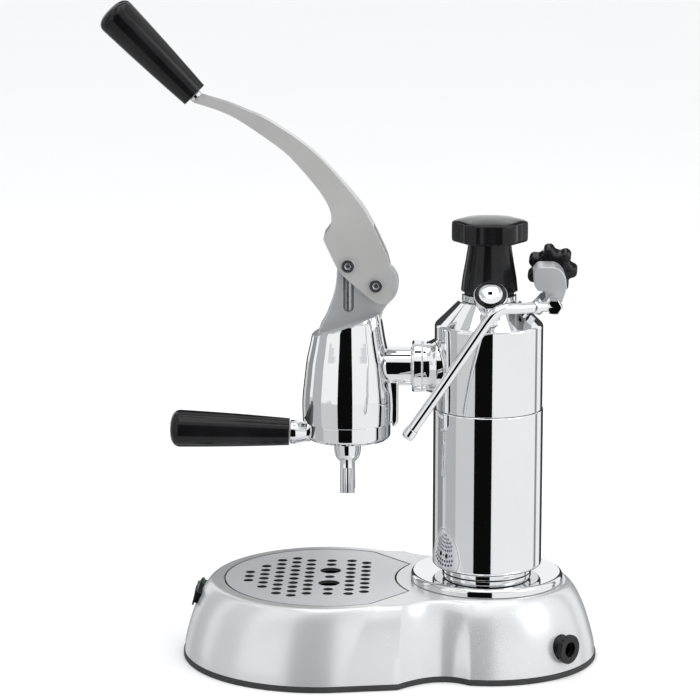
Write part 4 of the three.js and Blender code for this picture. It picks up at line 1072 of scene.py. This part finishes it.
def grip_tree():
    tree, given = new_tree("tapered_grip", {"Length": 0.08, "Neck": 0.009, "Swell": 0.013, "Butt": 0.008,
        "Belly": 0.0004})
    grid = put(tree, "GeometryNodeMeshGrid", {"Size X": 1.0, "Size Y": 1.0, "Vertices X": 97,
        "Vertices Y": 81})
    spot = put(tree, "ShaderNodeSeparateXYZ", {0: put(tree, "GeometryNodeInputPosition").outputs[0]}).outputs
    turn = maths(tree, "MULTIPLY", maths(tree, "ADD", spot[0], 0.5), 2 * math.pi)
    row = maths(tree, "ADD", spot[1], 0.5)
    first = 1 / 80
    body = maths(tree, "DIVIDE", maths(tree, "MAXIMUM", maths(tree, "SUBTRACT", row, first), 0.0), 1 - first)
    rest = maths(tree, "MAXIMUM", maths(tree, "SUBTRACT", 1.0, body), 0.0)
    along = maths(tree, "SUBTRACT", 1.0, maths(tree, "POWER", rest, 2.2))
    widening = maths(tree, "MULTIPLY", along, maths(tree, "SUBTRACT", given["Swell"], given["Neck"]))
    belly = maths(tree, "MULTIPLY", given["Belly"],
        maths(tree, "SINE", maths(tree, "MULTIPLY", along, math.pi)))
    radius = maths(tree, "ADD", maths(tree, "ADD", given["Neck"], widening), belly)
    left = maths(tree, "MULTIPLY", maths(tree, "SUBTRACT", 1.0, along), given["Length"])
    inside = maths(tree, "MINIMUM", maths(tree, "DIVIDE", left, given["Butt"]), 1.0)
    bow = maths(tree, "POWER", maths(tree, "SUBTRACT", 1.0, inside), 2.6)
    rounding = maths(tree, "POWER", maths(tree, "MAXIMUM", maths(tree, "SUBTRACT", 1.0, bow), 0.0), 1 / 2.6)
    start = maths(tree, "MINIMUM", maths(tree, "DIVIDE", row, first), 1.0)
    reach = maths(tree, "MULTIPLY", maths(tree, "MULTIPLY", radius, rounding), start)
    z = maths(tree, "MULTIPLY", along, given["Length"])
    x = maths(tree, "MULTIPLY", reach, maths(tree, "COSINE", turn))
    y = maths(tree, "MULTIPLY", reach, maths(tree, "SINE", turn))
    place_at = put(tree, "ShaderNodeCombineXYZ", {0: x, 1: y, 2: z}).outputs[0]
    wrapped = put(tree, "GeometryNodeSetPosition", {"Geometry": grid.outputs["Mesh"], "Position": place_at})
    merged = put(tree, "GeometryNodeMergeByDistance", {0: wrapped.outputs[0], "Distance": 1e-5})
    close_tree(tree, merged.outputs[0], given["Material"])
    return tree


grips = grip_tree()
GRIP_AT = FULCRUM + Vector((-121.8, 0, 126.7))
GRIP_DIR = Vector((-58.9, 0, 59.6)).normalized()
grip = grow(blank("lever_handle"), grips, BAKELITE, Length=81 * MM, Neck=9.3 * MM, Swell=13.5 * MM)
fit(smooth(moved(grip, GRIP_AT + GRIP_DIR * 2.7, GRIP_DIR), 40), BAKELITE, "lever_grip")
FERRULE = [(0, 0), (4.4, 0), (4.4, 2.4), (0, 2.4)]
fit(turned("lever_collar", FERRULE, GRIP_AT, GRIP_DIR, 0.4, 64), CHROME, "lever_ferrule")

# %% [markdown]
# ## The portafilter
# The holder is a turned cup with two ears that lock under the group, and a neck that carries its grip. The
# spout under it is a rounded cup that parts into two open gutters.

# %% Portafilter
HOLDER_Z = 154.6
HOLDER = [(27.4, HOLDER_Z, 0.3), (29.4, HOLDER_Z + 2.2, 1.2), (29.4, 166.8, 0.8),
    (27.4, 166.8), (27.4, 180),
          (24.8, 180), (24.8, HOLDER_Z + 2.4), (4, HOLDER_Z + 2.4), (4, HOLDER_Z)]
NECK_DIR = Vector((-1, 0, 0.025)).normalized()
HANDLE_AT = GROUP + Vector((0, 0, 157.4))
holder = turned("filter_holder", HOLDER, GROUP, fillet=0.4, segments=160)
ears = slab("ears", [(-9, -28.2), (9, -28.2), (9, 28.2), (-9, 28.2)], 174, 177.2, "z")
ears.data.transform(Matrix.Translation(GROUP * MM))
combine(ears, "DIFFERENCE", turned("ear_room", [(0, 170), (25.5, 170), (25.5, 180), (0, 180)], GROUP,
    fillet=0, segments=96))
NECK_PROFILE = [(0, 26), (6.2, 26), (6.4, 29, 3), (7, 32, 4), (8.2, 36.5, 2), (8.2, 40.4), (0, 40.4)]
neck = turned("neck", NECK_PROFILE, HANDLE_AT, NECK_DIR, 0.6, 64)
combine(holder, "UNION", ears, neck)
fit(smooth(holder), CHROME, "portafilter_body")
handle = grow(blank("holder_handle"), grips, BAKELITE, Length=83 * MM, Neck=9.4 * MM, Swell=13.1 * MM)
fit(smooth(moved(handle, HANDLE_AT + NECK_DIR * 41, NECK_DIR), 40), BAKELITE, "portafilter_grip")

# %% Twin spout
SPOUT = GROUP + Vector((-0.6, 0, 0))
CUP = [(0, 137), (5, 137.4, 2), (8.4, 141, 3), (9.4, 146, 3), (9.4, HOLDER_Z - 0.3), (0, HOLDER_Z - 0.3)]
spout = turned("twin_spout", CUP, SPOUT, fillet=0.5, segments=96)
GUTTER_R = 5.2
GUTTER_BORE = 3.4
gutters, bores = [], []
for side in (-1, 1):
    route = [SPOUT + Vector((0, side * y, z)) for y, z in ((2.4, 143), (3.2, 134), (5.6, 125), (8, 116.8))]
    gutters.append(tube("gutter", curve_through(route), GUTTER_R, 48))
    run_out = [point + Vector((0, side * 2.6, 0)) for point in route[1:] + [route[-1] * 2 - route[-2]]]
    bores.append(tube("gutter_bore", curve_through(run_out), GUTTER_BORE, 40))
combine(spout, "UNION", *gutters)
cup_hole = turned("cup_hole", [(0, 139), (4, 139), (4, 160), (0, 160)], SPOUT, fillet=0, segments=40)
combine(spout, "DIFFERENCE", *bores, cup_hole)
fit(smooth(spout, 35), CHROME, "spout")

# %% [markdown]
# ## The studio
# Polished metal shows its room more than itself, so the room is part of the finish. A pale floor and a
# white sky light the machine softly. Cards that only reflections can see then draw the dark lines that make
# chrome look like chrome: a broad one in front, and narrow ones behind that darken the outer edges.

# %% Floor and light
STAGE_MIDDLE = Vector((93, 0, 0))
MIRROR_FLOOR = -800  # reflections see a lower floor, so a card's line runs down to the foot


def glow(name, colour):
    material = bpy.data.materials.new(name)
    material.use_nodes = True
    tree = material.node_tree
    tree.nodes.clear()
    light = put(tree, "ShaderNodeEmission", {"Color": (*colour, 1), "Strength": 1.0}).outputs[0]
    put(tree, "ShaderNodeOutputMaterial", {"Surface": light})
    return material


def only_reflected(thing):
    """A stage piece that only reflections see."""
    thing.visible_camera = False
    thing.visible_diffuse = False
    thing.visible_shadow = False
    thing.visible_transmission = False


def card(name, azimuth, distance, half_width, high, colour, low=MIRROR_FLOOR):
    """A flat card facing the machine; azimuth 0 is the front, and it grows towards +X."""
    a = math.radians(azimuth)
    centre = STAGE_MIDDLE + Vector((math.sin(a), -math.cos(a), 0)) * distance
    side = Vector((math.cos(a), math.sin(a), 0)) * half_width
    points = [centre - side, centre + side, centre + side, centre - side]
    heights = (low, low, high, high)
    thing = mesh_object(name, [(p.x, p.y, z) for p, z in zip(points, heights)], [[0, 1, 2, 3]])
    thing.data.materials.append(glow(name + "_shade", colour))
    only_reflected(thing)
    return thing


FLOOR_REACH = 9000
CEILING_REACH = 1500
CEILING_HEIGHT = 2600
LID_HEIGHT = 1500


def square(reach):
    return [(-reach, -reach), (reach, -reach), (reach, reach), (-reach, reach)]


FLOOR = square(FLOOR_REACH)
floor = slab("floor", FLOOR, -20, -0.1, "z")
floor_look, floor_tree, floor_shader = finish_base("pale_floor", 0)
floor_grain = noise(floor_tree, place(floor_tree), 3, 3)
floor_colour = two_colours(floor_tree, floor_grain, (0.93, 0.93, 0.93), (0.95, 0.95, 0.95))
floor_tree.links.new(floor_colour, floor_shader.inputs["Base Color"])
floor_shader.inputs["Roughness"].default_value = 0.9
floor.data.materials.append(floor_look)
floor.visible_glossy = False

shine = slab("reflected_floor", FLOOR, MIRROR_FLOOR - 20, MIRROR_FLOOR, "z")
shine_look = bpy.data.materials.new("reflected_floor")
shine_look.use_nodes = True
shine_tree = shine_look.node_tree
shine_tree.nodes.clear()
across = put(shine_tree, "ShaderNodeSeparateXYZ", {0: place(shine_tree)}).outputs[0]
strength = spread(shine_tree, across, 0.66, 0.95, -0.9, 0.9)
light = put(shine_tree, "ShaderNodeEmission", {"Color": (0.985, 0.99, 1, 1),
    "Strength": strength}).outputs[0]
put(shine_tree, "ShaderNodeOutputMaterial", {"Surface": light})
shine.data.materials.append(shine_look)
only_reflected(shine)

world = bpy.data.worlds.new("studio")
bpy.context.scene.world = world
world.use_nodes = True
world.node_tree.nodes["Background"].inputs["Color"].default_value = (0.985, 0.99, 1, 1)
world.node_tree.nodes["Background"].inputs["Strength"].default_value = 1.0
bpy.context.scene.view_settings.view_transform = "Standard"


def soft_light(name, place_mm, size, power):
    data = bpy.data.lights.new(name, "AREA")
    data.size = size
    data.energy = power
    lamp = bpy.data.objects.new(name, data)
    bpy.context.scene.collection.objects.link(lamp)
    lamp.location = Vector(place_mm) * MM
    lamp.rotation_euler = (STAGE_MIDDLE * MM - lamp.location).to_track_quat("-Z", "Y").to_euler()


soft_light("overhead", (200, -300, 2200), 1.8, 14)
soft_light("right", (1900, -900, 1300), 1.2, 8)

# %% Cards
BLACK = (0.004, 0.004, 0.004)
EDGE_SHADE = (0.05, 0.05, 0.055)
SIDE_SHADE = (0.3, 0.31, 0.32)
HAZE = (0.48, 0.49, 0.51)
HIGH_HAZE = (0.72, 0.73, 0.75)
FRONT_WAY = -10.9
FRONT_REACH = 1250
FRONT_SPREAD = 0.33
card("front_card", FRONT_WAY, FRONT_REACH, FRONT_REACH * FRONT_SPREAD, 1000, BLACK)
for azimuth in (-156, 156):
    card(f"edge_card_{azimuth % 360}", azimuth, 700, 170, 900, EDGE_SHADE)
card("left_shade", -118, 800, 150, 900, SIDE_SHADE)
card("right_shade", 118, 800, 60, 900, SIDE_SHADE)
card("left_haze", -85, 1500, 380, 1400, HAZE)
card("high_haze", 0, 1500, 2500, 1250, HIGH_HAZE, 620)

# A grey ceiling keeps the sloping faces a step darker than the walls.
ceiling = slab("ceiling", square(CEILING_REACH), CEILING_HEIGHT, CEILING_HEIGHT + 20, "z")
ceiling.data.materials.append(glow("ceiling_shade", (0.6, 0.61, 0.63)))
only_reflected(ceiling)
# A small black lid hangs high up, a little towards the camera.
LID = [(-40, -470), (220, -470), (220, -200), (-40, -200)]
lid = slab("dark_lid", LID, LID_HEIGHT, LID_HEIGHT + 10, "z")
lid.data.materials.append(glow("dark_lid_shade", BLACK))
only_reflected(lid)

# %% [markdown]
# ## Remaining CAD pieces
# Pieces that stay inside, such as the heater, the piston and the basin, keep their CAD shape and only take
# a finish. Last, the names of the CAD pieces that are still shown are printed.

# %% List the CAD pieces kept
shown = [node for node, thing in frame["nodes"].items() if not thing.hide_render]
print("CAD pieces kept:", ", ".join(sorted(shown)))
